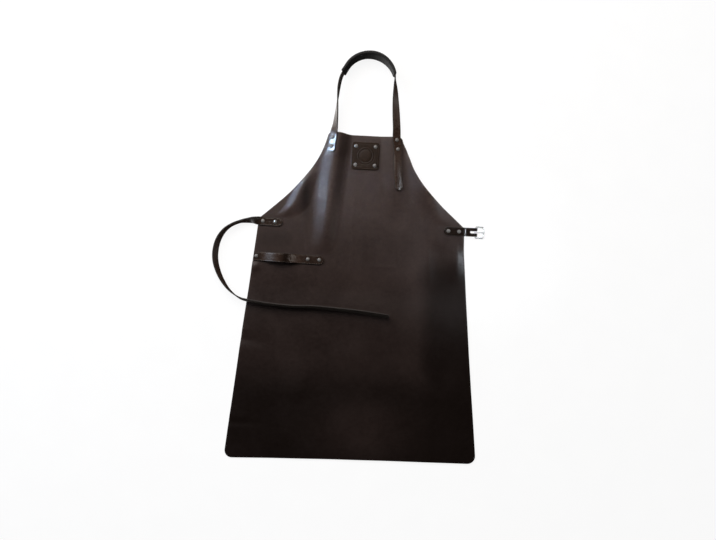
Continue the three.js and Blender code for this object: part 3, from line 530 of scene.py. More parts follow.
class StrapPath:
    """A strap's centre line and axes in steps of 1 mm along it."""

    def __init__(self, rows):
        points, rolls = [], []
        for i, (x, y, z, roll) in enumerate(rows):
            before, after = rows[max(i - 1, 0)], rows[min(i + 1, len(rows) - 1)]
            travel = unit(np.array([after[0] - before[0], after[1] - before[1], 0.0]))
            if roll is None:
                right = np.cross(travel, [0, 0, 1])
                normal = panel_normal(x, y)
                roll = math.atan2(-normal @ right, normal @ np.cross(right, travel))
            else:
                roll = math.radians(roll)
            if z is None:
                across, normal = section_axes(travel[None], np.array([roll]))
                z = rest_height(np.array([[x, y, 0.0]]), across, normal)[0]
            points.append((x, y, z))
            rolls.append(roll)
        places, line = catmull_rom(np.array(points, float))
        run = np.concatenate([[0], np.cumsum(np.linalg.norm(np.diff(line, axis=0), axis=1))])
        self.length = run[-1]
        self.row_distance = np.interp(np.arange(len(rows)), places, run)
        self.at = np.linspace(0, self.length, round(self.length) + 1)
        place_at = np.interp(self.at, run, places)
        self.centre = np.stack([np.interp(self.at, run, line[:, k]) for k in range(3)], axis=1)
        roll = smoothed(np.interp(place_at, np.arange(len(rows)), rolls), ROLL_WINDOW)
        travel = unit(np.gradient(self.centre, axis=0))
        self.across, self.normal = section_axes(travel, roll)
        lowest = rest_height(self.centre, self.across, self.normal)
        self.centre[:, 2] = smoothed(np.maximum(self.centre[:, 2], lowest), HEIGHT_WINDOW)

    def sample(self, distance):
        def read(values):
            return np.stack([np.interp(distance, self.at, values[:, k]) for k in range(3)], axis=1)
        return read(self.centre), unit(read(self.across)), unit(read(self.normal))


# Strap profile: distances in from the edge and drops below the face, with a tooled line along the edge
GRAIN_PROFILE = [
    (0.0, 0.45), (0.12, 0.18), (0.35, 0.03), (0.8, 0.0), (1.75, 0.0), (2.05, 0.15), (2.35, 0.0), (3.6, 0.0),
    (6.0, 0.0),
]
FLESH_PROFILE = [(0.0, 0.5), (0.3, 0.1), (0.9, 0.0), (4.0, 0.0)]
FULL_PROFILE_HALF = 7.0
CURL_FROM, CURL_REACH = 3.5, 6.5
STRAP_RUB_HALF = 1.6
ROUND_END = np.radians([9, 18, 28, 39, 51, 64, 77])


def strap_ring(half, thickness):
    """Ring of (across, out) points and the kind of face after each: 0 grain, 1 flesh, 2 cut edge."""
    squeeze = min(1.0, half / FULL_PROFILE_HALF)
    grain = [(half - inset * squeeze, thickness / 2 - drop * squeeze) for inset, drop in GRAIN_PROFILE]
    flesh = [(half - inset * squeeze, drop * squeeze - thickness / 2) for inset, drop in FLESH_PROFILE]
    ring = [(-a, b) for a, b in grain] + grain[::-1] + flesh + [(-a, b) for a, b in flesh[::-1]]
    g, f = len(grain), len(flesh)
    kinds = [2] * 3 + [0] * (2 * g - 7) + [2] * 4 + [1] * (2 * f - 1) + [2]
    return np.array(ring), kinds


def swept_piece(name, sections, halves, thickness, rivets, curl=0.0, shade=0.0):
    """A strap through sections, which are centre, across and normal, of given half widths. Rivets press
    into its grain side. curl is how far the edge on the across side bends down, and shade is how much its
    colour is darkened (painted shade on the towel strap), each the same all along or given for each
    section."""
    rows = len(halves)
    points, wear = [], []
    for c, a, n, half, bend in zip(*sections, halves, np.broadcast_to(curl, rows)):
        ring, kinds = strap_ring(half, thickness)
        ring[:, 1] -= bend * np.clip((ring[:, 0] - CURL_FROM) / CURL_REACH, 0, 1) ** 2
        points.append(c + np.outer(ring[:, 0], a) + np.outer(ring[:, 1], n))
        wear.append(bell(np.abs(ring[:, 0]), half, STRAP_RUB_HALF))
    for _, x, y in rivets:
        for ring, n in zip(points, sections[2]):
            grain = ring[:2 * len(GRAIN_PROFILE)]
            away = np.hypot(grain[:, 0] - x, grain[:, 1] - y)
            grain -= np.outer(RIVET_DENT["depth"] * smoothstep(away, *RIVET_DENT["span"]), n)
    size = len(kinds)
    faces = tube_faces(rows, size) + end_caps(rows, size)
    values = {"wear": np.concatenate(wear), "shade": np.repeat(np.broadcast_to(shade, rows), size)}
    return make_piece(name, np.concatenate(points), faces, STRAP_SKIN, kinds * (rows - 1) + [2, 2], values)


def strap_stops(length, width, step, square_start=False):
    """Distances and half widths along a strap with round ends."""
    radius = width / 2
    near, narrow = radius * (1 - np.cos(ROUND_END)), radius * np.sin(ROUND_END)
    middle = np.linspace(radius, length - radius, max(round((length - width) / step), 2))
    distance = np.concatenate([near, middle, length - near[::-1]])
    half = np.concatenate([narrow, np.full(len(middle), radius), narrow[::-1]])
    if square_start:
        half[:len(near)] = radius
    return distance, half


# Materials
def material_of(name):
    material = bpy.data.materials.new(name)
    material.use_nodes = True
    tree = material.node_tree
    return material, tree, tree.nodes["Principled BSDF"]


def join(tree, socket, value):
    """Links a socket to another one, or sets it to a constant."""
    if isinstance(value, bpy.types.NodeSocket):
        tree.links.new(value, socket)
    else:
        socket.default_value = value


def add(tree, kind, inputs=None, **settings):
    node = tree.nodes.new(kind)
    for key, value in settings.items():
        setattr(node, key, value)
    for key, value in (inputs or {}).items():
        join(tree, node.inputs[key], value)
    return node


def dress(tree, shader, base, roughness, normal, **constants):
    """Links what varies over the surface, and sets constants named by their sockets."""
    for key, value in (("Base Color", base), ("Roughness", roughness), ("Normal", normal)):
        tree.links.new(value, shader.inputs[key])
    for key, value in constants.items():
        shader.inputs[key.replace("_", " ")].default_value = value


def noise(tree, vector, scale, detail, roughness, distortion=0.0):
    inputs = {"Vector": vector, "Scale": scale, "Detail": detail, "Roughness": roughness}
    return add(tree, "ShaderNodeTexNoise", {**inputs, "Distortion": distortion}).outputs["Fac"]


def voronoi(tree, vector, scale, feature):
    inputs = {"Vector": vector, "Scale": scale, "Randomness": 1.0}
    node = add(tree, "ShaderNodeTexVoronoi", inputs, feature=feature)
    return node, node.outputs["Distance"]


def ranged(tree, value, low, high, to_low, to_high, smooth=False):
    inputs = {"Value": value, "From Min": low, "From Max": high, "To Min": to_low, "To Max": to_high}
    kind = "SMOOTHSTEP" if smooth else "LINEAR"
    return add(tree, "ShaderNodeMapRange", inputs, interpolation_type=kind).outputs["Result"]


def mixed(tree, share, a, b):
    node = add(tree, "ShaderNodeMix", data_type="RGBA")
    for number, value in ((0, share), (6, a), (7, b)):
        join(tree, node.inputs[number], value)
    return node.outputs[2]


def maths(tree, operation, a, b):
    return add(tree, "ShaderNodeMath", {0: a, 1: b}, operation=operation).outputs[0]


def weighted(tree, a, share_a, b, share_b):
    return maths(tree, "ADD", maths(tree, "MULTIPLY", a, share_a), maths(tree, "MULTIPLY", b, share_b))


def bump(tree, height, strength, distance, under=None, invert=False):
    inputs = {"Height": height, "Strength": strength, "Distance": distance}
    if under is not None:
        inputs["Normal"] = under
    return add(tree, "ShaderNodeBump", inputs, invert=invert).outputs[0]


def stretched(tree, spot, scale, rotation=(0.0, 0.0, 0.0)):
    return add(tree, "ShaderNodeMapping", {"Vector": spot, "Rotation": rotation, "Scale": scale}).outputs[0]


def colour(red, green, blue):
    return (red, green, blue, 1.0)


def object_place(tree):
    return add(tree, "ShaderNodeTexCoord").outputs["Object"]


def point_value(tree, name):
    return add(tree, "ShaderNodeAttribute", attribute_name=name).outputs["Fac"]


# SHADED is the near-black mixed in by the shade value: darker places, partly painted shade by the left
# ridge and on the towel strap
SHADED, PIT = colour(0.0035, 0.0018, 0.0011), colour(0.002, 0.0016, 0.0014)
SHADE_SHARE, SHADE_SMOOTHNESS = 0.85, 0.09


def leather(name, dark, light, rubbed, roughness, grain=1.3, relief=1.0, specular=0.5):
    """Finished grain side: pebbled cells, pores, wrinkles, mottled dye, rubbed places and darker places,
    partly painted shade.
    """
    material, tree, shader = material_of(name)
    spot = object_place(tree)
    stir = add(tree, "ShaderNodeTexNoise", {"Vector": spot, "Scale": 260.0, "Detail": 2.0}).outputs["Color"]
    shift = add(tree, "ShaderNodeVectorMath", {0: stir, "Scale": 0.0016}, operation="SCALE").outputs[0]
    bent = add(tree, "ShaderNodeVectorMath", {0: spot, 1: shift}, operation="ADD").outputs[0]
    cell_node, cells = voronoi(tree, bent, 1000.0 / grain, "SMOOTH_F1")
    cell_node.inputs["Smoothness"].default_value = 0.35
    pits = ranged(tree, voronoi(tree, bent, 420.0 / grain, "F1")[1], 0.05, 0.2, 0.0, 1.0, smooth=True)
    fine = noise(tree, spot, scale=2600.0, detail=4.0, roughness=0.6)
    wrinkle = noise(tree, spot, scale=46.0, detail=5.0, roughness=0.55, distortion=1.2)
    cloud = noise(tree, spot, scale=9.0, detail=4.0, roughness=0.6, distortion=0.6)
    mottle = noise(tree, spot, scale=120.0, detail=4.0, roughness=0.6)
    share = weighted(tree, cloud, 0.6, mottle, 0.4)
    wear, shade = point_value(tree, "wear"), point_value(tree, "shade")
    base = mixed(tree, ranged(tree, share, 0.32, 0.68, 0.0, 1.0), dark, light)
    rub = maths(tree, "MULTIPLY", wear, ranged(tree, mottle, 0.35, 0.7, 0.15, 0.8))
    base = mixed(tree, rub, base, rubbed)
    # Mixes in SHADED by the shade value: darker places and painted shade
    base = mixed(tree, maths(tree, "MULTIPLY", shade, SHADE_SHARE), base, SHADED)
    base = mixed(tree, ranged(tree, pits, 0.0, 1.0, 0.45, 0.0), base, PIT)
    broad = ranged(tree, share, 0.3, 0.7, roughness - 0.07, roughness + 0.07)
    rough = maths(tree, "ADD", broad, ranged(tree, fine, 0.3, 0.7, -0.04, 0.05))
    rough = maths(tree, "SUBTRACT", rough, maths(tree, "MULTIPLY", shade, SHADE_SMOOTHNESS))
    normal = bump(tree, cells, 0.22 * relief, 0.0004, invert=True)
    normal = bump(tree, pits, 0.25 * relief, 0.0003, normal)
    normal = bump(tree, fine, 0.15 * relief, 0.00015, normal)
    normal = bump(tree, wrinkle, 0.12 * relief, 0.004, normal)
    dress(tree, shader, base, rough, normal, Specular_IOR_Level=specular)
    return material


def suede(name, dark, light):
    """Flesh side: short matted fibres, brushed in patches."""
    material, tree, shader = material_of(name)
    spot = object_place(tree)
    nap = noise(tree, spot, scale=900.0, detail=6.0, roughness=0.75, distortion=0.8)
    brushed = noise(tree, spot, scale=35.0, detail=4.0, roughness=0.6, distortion=1.5)
    share = weighted(tree, nap, 0.55, brushed, 0.45)
    base = mixed(tree, ranged(tree, share, 0.35, 0.65, 0.0, 1.0), dark, light)
    rough = ranged(tree, nap, 0.3, 0.7, 0.85, 1.0)
    dress(tree, shader, base, rough, bump(tree, nap, 0.7, 0.0006), Specular_IOR_Level=0.25)
    return material


def cut_edge(name, dark, light, roughness):
    """Burnished cut edge: fibre layers that run along the edge, and worn places."""
    material, tree, shader = material_of(name)
    spot = object_place(tree)
    layers = stretched(tree, spot, (120.0, 120.0, 1900.0))
    fibre = noise(tree, layers, scale=1.0, detail=5.0, roughness=0.65)
    worn = noise(tree, spot, scale=70.0, detail=4.0, roughness=0.6)
    share = weighted(tree, fibre, 0.6, worn, 0.4)
    base = mixed(tree, ranged(tree, share, 0.36, 0.66, 0.0, 1.0), dark, light)
    rough = ranged(tree, share, 0.3, 0.7, roughness - 0.1, roughness + 0.12)
    dress(tree, shader, base, rough, bump(tree, fibre, 0.35, 0.0004), Specular_IOR_Level=0.35)
    return material


def nickel_plate(name, dull, clean, roughness):
    """Nickel plate: fine scratches, faint clouding and dark tarnish specks."""
    material, tree, shader = material_of(name)
    spot = object_place(tree)
    lines = stretched(tree, spot, (300.0, 4200.0, 900.0), (0.3, 0.5, 0.9))
    scratch = noise(tree, lines, scale=1.0, detail=3.0, roughness=0.6)
    cloud = noise(tree, spot, scale=420.0, detail=4.0, roughness=0.6)
    specks = noise(tree, spot, scale=1500.0, detail=3.0, roughness=0.6)
    base = mixed(tree, ranged(tree, cloud, 0.3, 0.7, 0.0, 1.0), dull, clean)
    tarnish = ranged(tree, specks, 0.62, 0.75, 0.0, 0.6, smooth=True)
    base = mixed(tree, tarnish, base, colour(0.2, 0.19, 0.17))
    rough = ranged(tree, scratch, 0.3, 0.7, roughness - 0.07, roughness + 0.07)
    rough = maths(tree, "ADD", rough, ranged(tree, cloud, 0.3, 0.7, -0.05, 0.05))
    dress(tree, shader, base, rough, bump(tree, scratch, 0.12, 0.0001), Metallic=1.0)
    return material


def waxed_thread(name):
    """Thick waxed thread: a twist of strands."""
    material, tree, shader = material_of(name)
    inputs = {"Vector": object_place(tree), "Scale": 700.0, "Distortion": 2.0, "Detail": 2.0}
    strand = add(tree, "ShaderNodeTexWave", inputs, bands_direction="DIAGONAL").outputs["Fac"]
    base = mixed(tree, strand, colour(0.006, 0.005, 0.005), colour(0.02, 0.018, 0.017))
    dress(tree, shader, base, ranged(tree, strand, 0.0, 1.0, 0.45, 0.65), bump(tree, strand, 0.4, 0.0002))
    return material


PANEL_GRAIN = leather("panel_grain", colour(0.0272, 0.0168, 0.0142), colour(0.048, 0.0298, 0.0248),
                      colour(0.07, 0.046, 0.036), 0.43, relief=0.5, specular=0.3)
PANEL_FLESH = suede("panel_flesh", colour(0.035, 0.026, 0.02), colour(0.075, 0.058, 0.046))
PANEL_EDGE = cut_edge("panel_edge", colour(0.006, 0.0045, 0.004), colour(0.02, 0.015, 0.012), 0.55)
STRAP_GRAIN = leather("strap_grain", colour(0.026, 0.0142, 0.0092), colour(0.05, 0.0285, 0.0195),
                      colour(0.075, 0.048, 0.034), 0.29, grain=1.0, relief=0.35, specular=0.55)
STRAP_FLESH = suede("strap_flesh", colour(0.014, 0.010, 0.008), colour(0.035, 0.026, 0.02))
STRAP_EDGE = cut_edge("strap_edge", colour(0.012, 0.009, 0.0075), colour(0.036, 0.028, 0.023), 0.7)
PAD_GRAIN = leather("pad_grain", colour(0.0028, 0.0026, 0.0026), colour(0.006, 0.0054, 0.0052),
                    colour(0.012, 0.011, 0.0105), 0.68, grain=0.9, specular=0.3)
PATCH_GRAIN = leather("patch_grain", colour(0.01, 0.0052, 0.0026), colour(0.025, 0.0122, 0.006),
                      colour(0.04, 0.022, 0.013), 0.48, grain=0.8, relief=0.35, specular=0.16)
BUCKLE_NICKEL = nickel_plate("buckle_nickel", colour(0.70, 0.69, 0.67), colour(0.84, 0.84, 0.83), 0.3)
RIVET_NICKEL = nickel_plate("rivet_nickel", colour(0.21, 0.203, 0.193), colour(0.28, 0.272, 0.26), 0.7)
THREAD = waxed_thread("waxed_thread")
PANEL_SKIN = [PANEL_GRAIN, PANEL_FLESH, PANEL_EDGE]
STRAP_SKIN = [STRAP_GRAIN, STRAP_FLESH, STRAP_EDGE]
PATCH_SKIN = [PATCH_GRAIN, STRAP_FLESH, STRAP_EDGE]


# Front panel
def side_drift(x, y):
    """Sideways shift of the panel's two sides against its even plan."""
    right = sum(reach * bell(y, at, half) for reach, at, half in RIGHT_BULGES) + stepped(y, RIGHT_STEPS)
    shoulder = smoothstep(y, *RIGHT_SHOULDER["below"]) * smoothstep(y, *RIGHT_SHOULDER["above"])
    right = right + RIGHT_SHOULDER["reach"] * shoulder
    left = sum(reach * bell(y, at, half) for reach, at, half in LEFT_BULGES)
    share = np.abs(x) / half_width(y)
    return np.clip(share, 0, 1) ** DRIFT_POWER * np.where(x > 0, right, left)


def hem_drift(x, y):
    """The hem hangs a little lower at both ends than in its middle."""
    return (HEM_RISE - HEM_END_DROP * (x / HEM_HALF) ** 2) * smoothstep(y, HEM_SKEW_FROM, HEM)


def panel_plan():
    """Plan grid of the panel from hem to bib top."""
    def corner(radius, base, way, count):
        turn = np.linspace(0, math.pi / 2, count, endpoint=False)
        y = base + way * radius * (1 - np.cos(turn))
        return y, half_width(y) - radius * (1 - np.sin(turn))

    hem_y, hem_half = corner(HEM_CORNER, HEM, 1, PANEL_STOPS["hem_corner"])
    top_y, top_half = corner(BIB_CORNER, BIB_TOP, -1, PANEL_STOPS["top_corner"])
    side_y = np.linspace(HEM + HEM_CORNER, SIDE_TOP, PANEL_STOPS["side"])
    arm_y, arm_half = armhole(np.linspace(0, 1, PANEL_STOPS["armhole"]))
    kept = arm_y < BIB_TOP - BIB_CORNER
    y = np.concatenate([hem_y, side_y, arm_y[kept], top_y[::-1]])
    half = np.concatenate([hem_half, half_width(side_y), arm_half[kept], top_half[::-1]])
    column = np.linspace(-1, 1, PANEL_STOPS["across"])
    x = half[:, None] * column[None, :]
    y = np.repeat(y[:, None], len(column), axis=1)
    y = y + HEM_SKEW_RISE * (x / HEM_HALF) * smoothstep(y, HEM_SKEW_FROM, HEM)
    y = y + (BIB_RISE * smoothstep(x, *BIB_RISE_SPAN) + TOP_RISE) * smoothstep(y, BIB_RISE_FROM, BIB_TOP)
    return x + side_drift(x, y), y + hem_drift(x, y)


def darkening_and_painted_shade(x, y):
    """Darker down the right side, towards the hem and at the left hip, with painted shade in the valley and
    on the right flank beside the left ridge.
    """
    right = RIGHT_SHADE["share"] * smoothstep(x, *RIGHT_SHADE["x"]) * smoothstep(y, *RIGHT_SHADE["y"])
    low = stepped(y, HEMWARD_SHADE) * (1 - swell(x, y, *HEM_LIGHT))
    hip_x = np.exp(-(((x - HIP_SHADE["x"]) / HIP_SHADE["half_x"]) ** 4))
    hip = HIP_SHADE["share"] * hip_x * bell(y, HIP_SHADE["y"], HIP_SHADE["half_y"])
    # Painted shade along the left ridge's right flank
    left_ridge = FOLDS[0][0]
    foot = bell(x, along(left_ridge, 1, y) + RIDGE_PAINTED_SHADE["beside"], RIDGE_PAINTED_SHADE["half"])
    ridge = RIDGE_PAINTED_SHADE["share"] * foot * smoothstep(y, *RIDGE_PAINTED_SHADE["y"])
    # The valley spot is painted shade between the armhole ripple and the left ridge
    return np.clip(np.maximum(np.maximum(right, low), hip) + swell(x, y, *VALLEY_PAINTED_SHADE) + ridge, 0, 1)


def make_panel():
    x, y = panel_plan()
    bottom = underside(x, y)
    inset = (1 - np.abs(np.linspace(-1, 1, x.shape[1])))[None, :] * np.abs(x[:, -1:])
    ends = np.minimum(y - y[0].min(), BIB_TOP - y)
    edge = np.minimum(inset, np.maximum(ends, 0))
    wear = np.clip(EDGE_RUB * bell(edge, 0, EDGE_RUB_HALF) + CREST_RUB * crest_wear(x, y), 0, 1)
    # The shade value darkens the panel's colour, partly as painted shade by the left ridge
    values = {"wear": wear, "shade": darkening_and_painted_shade(x, y)}
    return sheet_piece("panel", x, y, bottom + PANEL_THICKNESS, bottom, PANEL_SKIN, PANEL_RIM, values)


# Rivets
def make_rivet(node, x, y, above, below):
    """A cap rivet through the panel, with what lies above and below the panel between its two caps."""
    root, axis = np.array([x, y, float(grain_side(x, y))]), panel_normal(x, y)
    seat = above + GAP
    back = -(PANEL_THICKNESS * axis[2] + below) - GAP
    profile = [(radius, back + height) for radius, height in BACK_PROFILE]
    profile += [(RIVET_POST, back + BACK_PROFILE[-1][1]), (RIVET_POST, seat + CAP_PROFILE[0][1])]
    profile += [(radius, seat + height) for radius, height in CAP_PROFILE]
    side = unit(np.cross(axis, RIVET_START))
    other = np.cross(axis, side)
    n = RIVET_SIDES
    circle = np.outer(np.cos(round_turns(n)), side) + np.outer(np.sin(round_turns(n)), other)
    rings = [root + axis * height + circle * radius for radius, height in profile]
    poles = [root + axis * profile[0][1], root + axis * (profile[-1][1] + RIVET_CROWN)]
    last = len(rings) * n
    faces = tube_faces(len(rings), n)
    faces += [[last, (k + 1) % n, k] for k in range(n)]
    faces += [[last + 1, last - n + k, last - n + (k + 1) % n] for k in range(n)]
    name = node.replace("rivet_", "cap_rivet_")
    rivet = make_piece(name, np.concatenate([*rings, poles]), faces, [RIVET_NICKEL])
    return place(rivet, "apron", "nickel", node)


def towel_y(x):
    """The towel strap runs a little downhill to the right."""
    return TOWEL["y"] + TOWEL["slope"] * (x - TOWEL["left"])


# Rivets: node, x and y
NECK_RIVETS = [
    ("rivet_neck_left_upper", -77.8, 204.8), ("rivet_neck_left_lower", -79.7, 182.5),
    ("rivet_neck_right_upper", 75.6, 206.2), ("rivet_neck_right_lower", 79.0, 183.8),
]
WAIST_RIVETS = [("rivet_waist_outer", -238.2, -5.6), ("rivet_waist_inner", -208.8, -6.3)]
TOWEL_RIVETS = [(node, x, towel_y(x)) for node, x in (
    ("rivet_towel_left", -249.8), ("rivet_towel_right_inner", -124.6), ("rivet_towel_right_outer", -97.0))]
TAB_RIVETS = [("rivet_tab_inner", 212.0, TAB["y"]), ("rivet_tab_outer", 237.8, TAB["y"])]
PATCH_RIVETS = [
    (f"rivet_patch_{high}_{hand}", PATCH["x"] + sx * PATCH_PITCH_X / 2, PATCH["y"] + sy * PATCH_PITCH_Y / 2)
    for high, sy in (("upper", 1), ("lower", -1)) for hand, sx in (("left", -1), ("right", 1))
]
# Rivets with the leather above and below the panel that they hold
RIVET_STACKS = [
    (NECK_RIVETS, GAP + STRAP_THICKNESS, 0.0), (WAIST_RIVETS, GAP + STRAP_THICKNESS, 0.0),
    (TOWEL_RIVETS, GAP + TOWEL["thickness"], 0.0), (PATCH_RIVETS, GAP + PATCH["thickness"], 0.0),
    (TAB_RIVETS, GAP + TAB["thickness"], GAP + TAB["thickness"]),
]


def make_strap(name, path, rivets, tail=None, shade=0.0):
    """A strap along its path, its colour darkened by shade. Past the distance of tail, its edge curls down.
    """
    distance, half = strap_stops(path.length, STRAP_WIDTH, STRAP_STEP)
    curl = 0.0 if tail is None else TAIL_CURL * smoothstep(distance, tail, tail + TAIL_CURL_REACH)
    return swept_piece(name, path.sample(distance), half, STRAP_THICKNESS, rivets, curl, shade)


def neck_rows():
    """Rows of the whole neck strap, and how many of them are on the pad's arch."""
    turns = round((PAD_ARC["from"] - PAD_ARC["to"]) / PAD_ARC["step"])
    arch = []
    for a in np.radians(np.linspace(PAD_ARC["from"], PAD_ARC["to"], turns + 1)):
        x = PAD_ARC["x"] + PAD_ARC["radius"] * math.cos(a)
        y = PAD_ARC["y"] + PAD_ARC["radius"] * math.sin(a)
        arch.append((x, y, PAD_HEIGHT, float(np.interp(math.degrees(a), *zip(*PAD_ROLL)))))
    return NECK_STRAP_LEFT + arch + NECK_STRAP_RIGHT, len(arch)


def make_towel_strap():
    base = float(grain_side(TOWEL["left"], TOWEL["y"])) + GAP + TOWEL["thickness"] / 2

    def height(x):
        share = np.clip((x - TOWEL_BULGE[0]) / (TOWEL_BULGE[1] - TOWEL_BULGE[0]), 0, 1)
        return base + TOWEL["rise"] * np.sin(math.pi * share) ** 2

    length = TOWEL["right"] - TOWEL["left"]
    distance, half = strap_stops(length, TOWEL["width"], TOWEL["step"], square_start=True)
    x = TOWEL["left"] + distance
    slope = np.full(len(x), TOWEL["slope"])
    travel = unit(np.stack([np.ones_like(x), slope, height(x + 0.5) - height(x - 0.5)], axis=1))
    centre = np.stack([x, towel_y(x), height(x)], axis=1)
    sections = (centre, *section_axes(travel, np.zeros(len(x))))
    # Painted shade on the top of the bulge and on the flat ends
    share, middle, reach = TOWEL_MIDDLE_PAINTED_SHADE
    shade = share * bell(x, middle, reach) + stepped(x, TOWEL_END_PAINTED_SHADE)
    return swept_piece("towel_loop", sections, half, TOWEL["thickness"], TOWEL_RIVETS, shade=shade)


# Neck pad
def pad_size(share):
    """Half width and half thickness of the pad at a share of its length."""
    middle = math.sqrt(math.sin(math.pi * (PAD["taper"] + (1 - 2 * PAD["taper"]) * share)))
    width = PAD["end_width"] + (PAD["width"] - PAD["end_width"]) * middle
    thickness = PAD["end_thickness"] + (PAD["thickness"] - PAD["end_thickness"]) * middle
    return width / 2, thickness / 2


def pad_height(a, half, rise, pull):
    """Height of the pad's face over its middle: blunt edges, crowned between two sewn grooves."""
    body = rise * np.cbrt(np.clip(1 - np.abs(a / half) ** PAD["blunt"], 0, 1))
    return body - PAD_GROOVE * pull * bell(np.abs(a), half - PAD_SEAM, PAD_GROOVE_HALF)


def pad_across(half):
    """Places across the pad, close together at its seams and edges."""
    right = [v * half / (PAD["width"] / 2) for v in PAD_INNER] + [half - v for v in PAD_NEAR_EDGE] + [half]
    return np.array([-v for v in right[:0:-1]] + right)


def make_pad(path, start, end):
    even = np.linspace(start, end, round((end - start) / PAD_STEP) + 1)
    turn = np.linspace(0, math.pi / 2, PAD_END_STOPS, endpoint=False)[1:]
    rounding = PAD_END * (1 - np.cos(turn))
    middle = even[(even > start + PAD_END) & (even < end - PAD_END)]
    distance = np.concatenate([[start], start + rounding, middle, (end - rounding)[::-1], [end]])
    slot_half, slot_rise = STRAP_WIDTH / 2 + PAD_SLOT_CLEARANCE, STRAP_THICKNESS / 2 + PAD_SLOT_CLEARANCE
    lip = slot_rise + PAD_LIP
    outer, inner, wear = [], [], []
    for d, centre, across, normal in zip(distance, *path.sample(distance)):
        near = min(d - start, end - d) / PAD_END
        full = math.sqrt(1 - (1 - near) ** 2) if near < 1 else 1.0
        half, rise = pad_size((d - start) / (end - start))
        half = half - PAD_END_TAPER * (1 - full)
        a = pad_across(half)
        pull = (PAD_PULL + PAD_PULL_WAVE * math.sin(2 * math.pi * (d - start) / STITCH["pitch"])) * full
        high = pad_height(a, half, lip + (rise - lip) * full, pull)
        ring_a, ring_h = np.concatenate([a, a[-2:0:-1]]), np.concatenate([high, -high[-2:0:-1]])
        slot_a, slot_h = np.clip(ring_a, -slot_half, slot_half), np.sign(ring_h) * slot_rise
        outer.append(centre + np.outer(ring_a, across) + np.outer(ring_h, normal))
        inner.append(centre + np.outer(slot_a, across) + np.outer(slot_h, normal))
        wear.append(bell(np.abs(ring_a), half, PAD_RUB_HALF))
    rings = outer + inner[::-1]
    n = len(rings[0])
    values = {"wear": np.concatenate(wear + [np.zeros(n)] * len(inner))}
    faces = tube_faces(len(rings), n, closed=True)
    return make_piece("pad", np.concatenate(rings), faces, [PAD_GRAIN], values=values)


def make_pad_stitches(path, start, end):
    """Two rows of saddle stitches along the pad, on both faces."""
    sides = STITCH["sides"]
    stops = len(STITCH_PROFILE)
    turn = round_turns(sides)
    points, faces = [], []
    for k in range(int((end - start - 2 * PAD_END) / STITCH["pitch"])):
        d = start + PAD_END + STITCH["pitch"] * (k + 0.5)
        half, rise = pad_size((d - start) / (end - start))
        depth = float(pad_height(np.array(half - PAD_SEAM), half, rise, PAD_PULL))
        for side, face in ((-1, -1), (-1, 1), (1, -1), (1, 1)):
            base = len(points) * sides
            for share, swelling, lift in STITCH_PROFILE:
                c, a, n = (v[0] for v in path.sample(np.array([d + share * STITCH["length"]])))
                centre = c + a * side * (half - PAD_SEAM) + n * face * (depth + lift)
                ring = np.outer(np.cos(turn), a) + np.outer(np.sin(turn), n)
                points.append(centre + STITCH["radius"] * swelling * ring)
            faces += tube_faces(stops, sides, base, flip=True) + end_caps(stops, sides, base, flip=True)
    return make_piece("pad_stitching", np.concatenate(points), faces, [THREAD])


# Patch
def patch_relief(x, y):
    """Tooled border and a bare round medallion with a beaded rim, flat round the rivets."""
    edge = PATCH["side"] / 2 - np.maximum(np.abs(x), np.abs(y))
    reach, turn = np.hypot(x, y), np.arctan2(y, x)
    corner = np.hypot(np.abs(x) - PATCH_PITCH_X / 2, np.abs(y) - PATCH_PITCH_Y / 2)
    border = PATCH_LINE["depth"] * bell(edge, PATCH_LINE["inset"], PATCH_LINE["half"])
    row = BEADS["height"] * np.exp(-(((reach - BEADS["radius"]) / BEADS["half"]) ** 4))
    beads = row * (BEADS["mean"] + BEADS["swing"] * np.cos(BEADS["count"] * turn))
    grooves = sum(bell(reach, radius, MEDALLION_GROOVES["half"]) for radius in MEDALLION_GROOVES["radii"])
    dome = DOME["height"] * np.clip(1 - (reach / DOME["radius"]) ** 2, 0, 1) ** DOME["power"]
    medallion = beads - MEDALLION_GROOVES["depth"] * grooves + dome
    dent = PATCH_DENT * smoothstep(corner, *PATCH_DENT_SPAN)
    medallion = medallion * smoothstep(corner, *MEDALLION_CLEAR)
    return medallion - border * smoothstep(corner, *PATCH_LINE["clear"]) - dent


def make_patch():
    half, corner = PATCH["side"] / 2, PATCH["corner"]
    turn = np.linspace(0, math.pi / 2, PATCH_STOPS["corner"], endpoint=False)
    near, narrow = corner * (1 - np.cos(turn)), corner * (1 - np.sin(turn))
    middle = np.linspace(corner - half, half - corner, PATCH_STOPS["side"])
    y = np.concatenate([-half + near, middle, (half - near)[::-1]])
    shrink = np.concatenate([narrow, np.zeros(len(middle)), narrow[::-1]])
    column = np.linspace(-1, 1, PATCH_STOPS["across"])
    x = (half - shrink)[:, None] * column[None, :]
    y = np.repeat(y[:, None], len(column), axis=1)
    edge = half - np.maximum(np.abs(x), np.abs(y))
    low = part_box("badge_patch")[0].z * 1000
    relief = patch_relief(x, y) - PATCH_EDGE_DROP * bell(edge, 0, PATCH_EDGE_HALF)
    top, bottom = low + PATCH["thickness"] + relief, np.full_like(relief, low)
    raised = np.clip(relief / PATCH_RUB["raised_full"], 0, 1)
    rub = PATCH_RUB["edge"] * bell(edge, 0, PATCH_RUB["edge_half"]) + PATCH_RUB["raised"] * raised
    values = {"wear": np.clip(rub, 0, 1)}
    return sheet_piece("patch", x + PATCH["x"], y + PATCH["y"], top, bottom, PATCH_SKIN, PATCH_RIM, values)


# Buckle and its tab
def applied(piece):
    """Bakes a piece's modifiers into its mesh."""
    graph = bpy.context.evaluated_depsgraph_get()
    mesh = bpy.data.meshes.new_from_object(piece.evaluated_get(graph))
    piece.modifiers.clear()
    piece.data = mesh


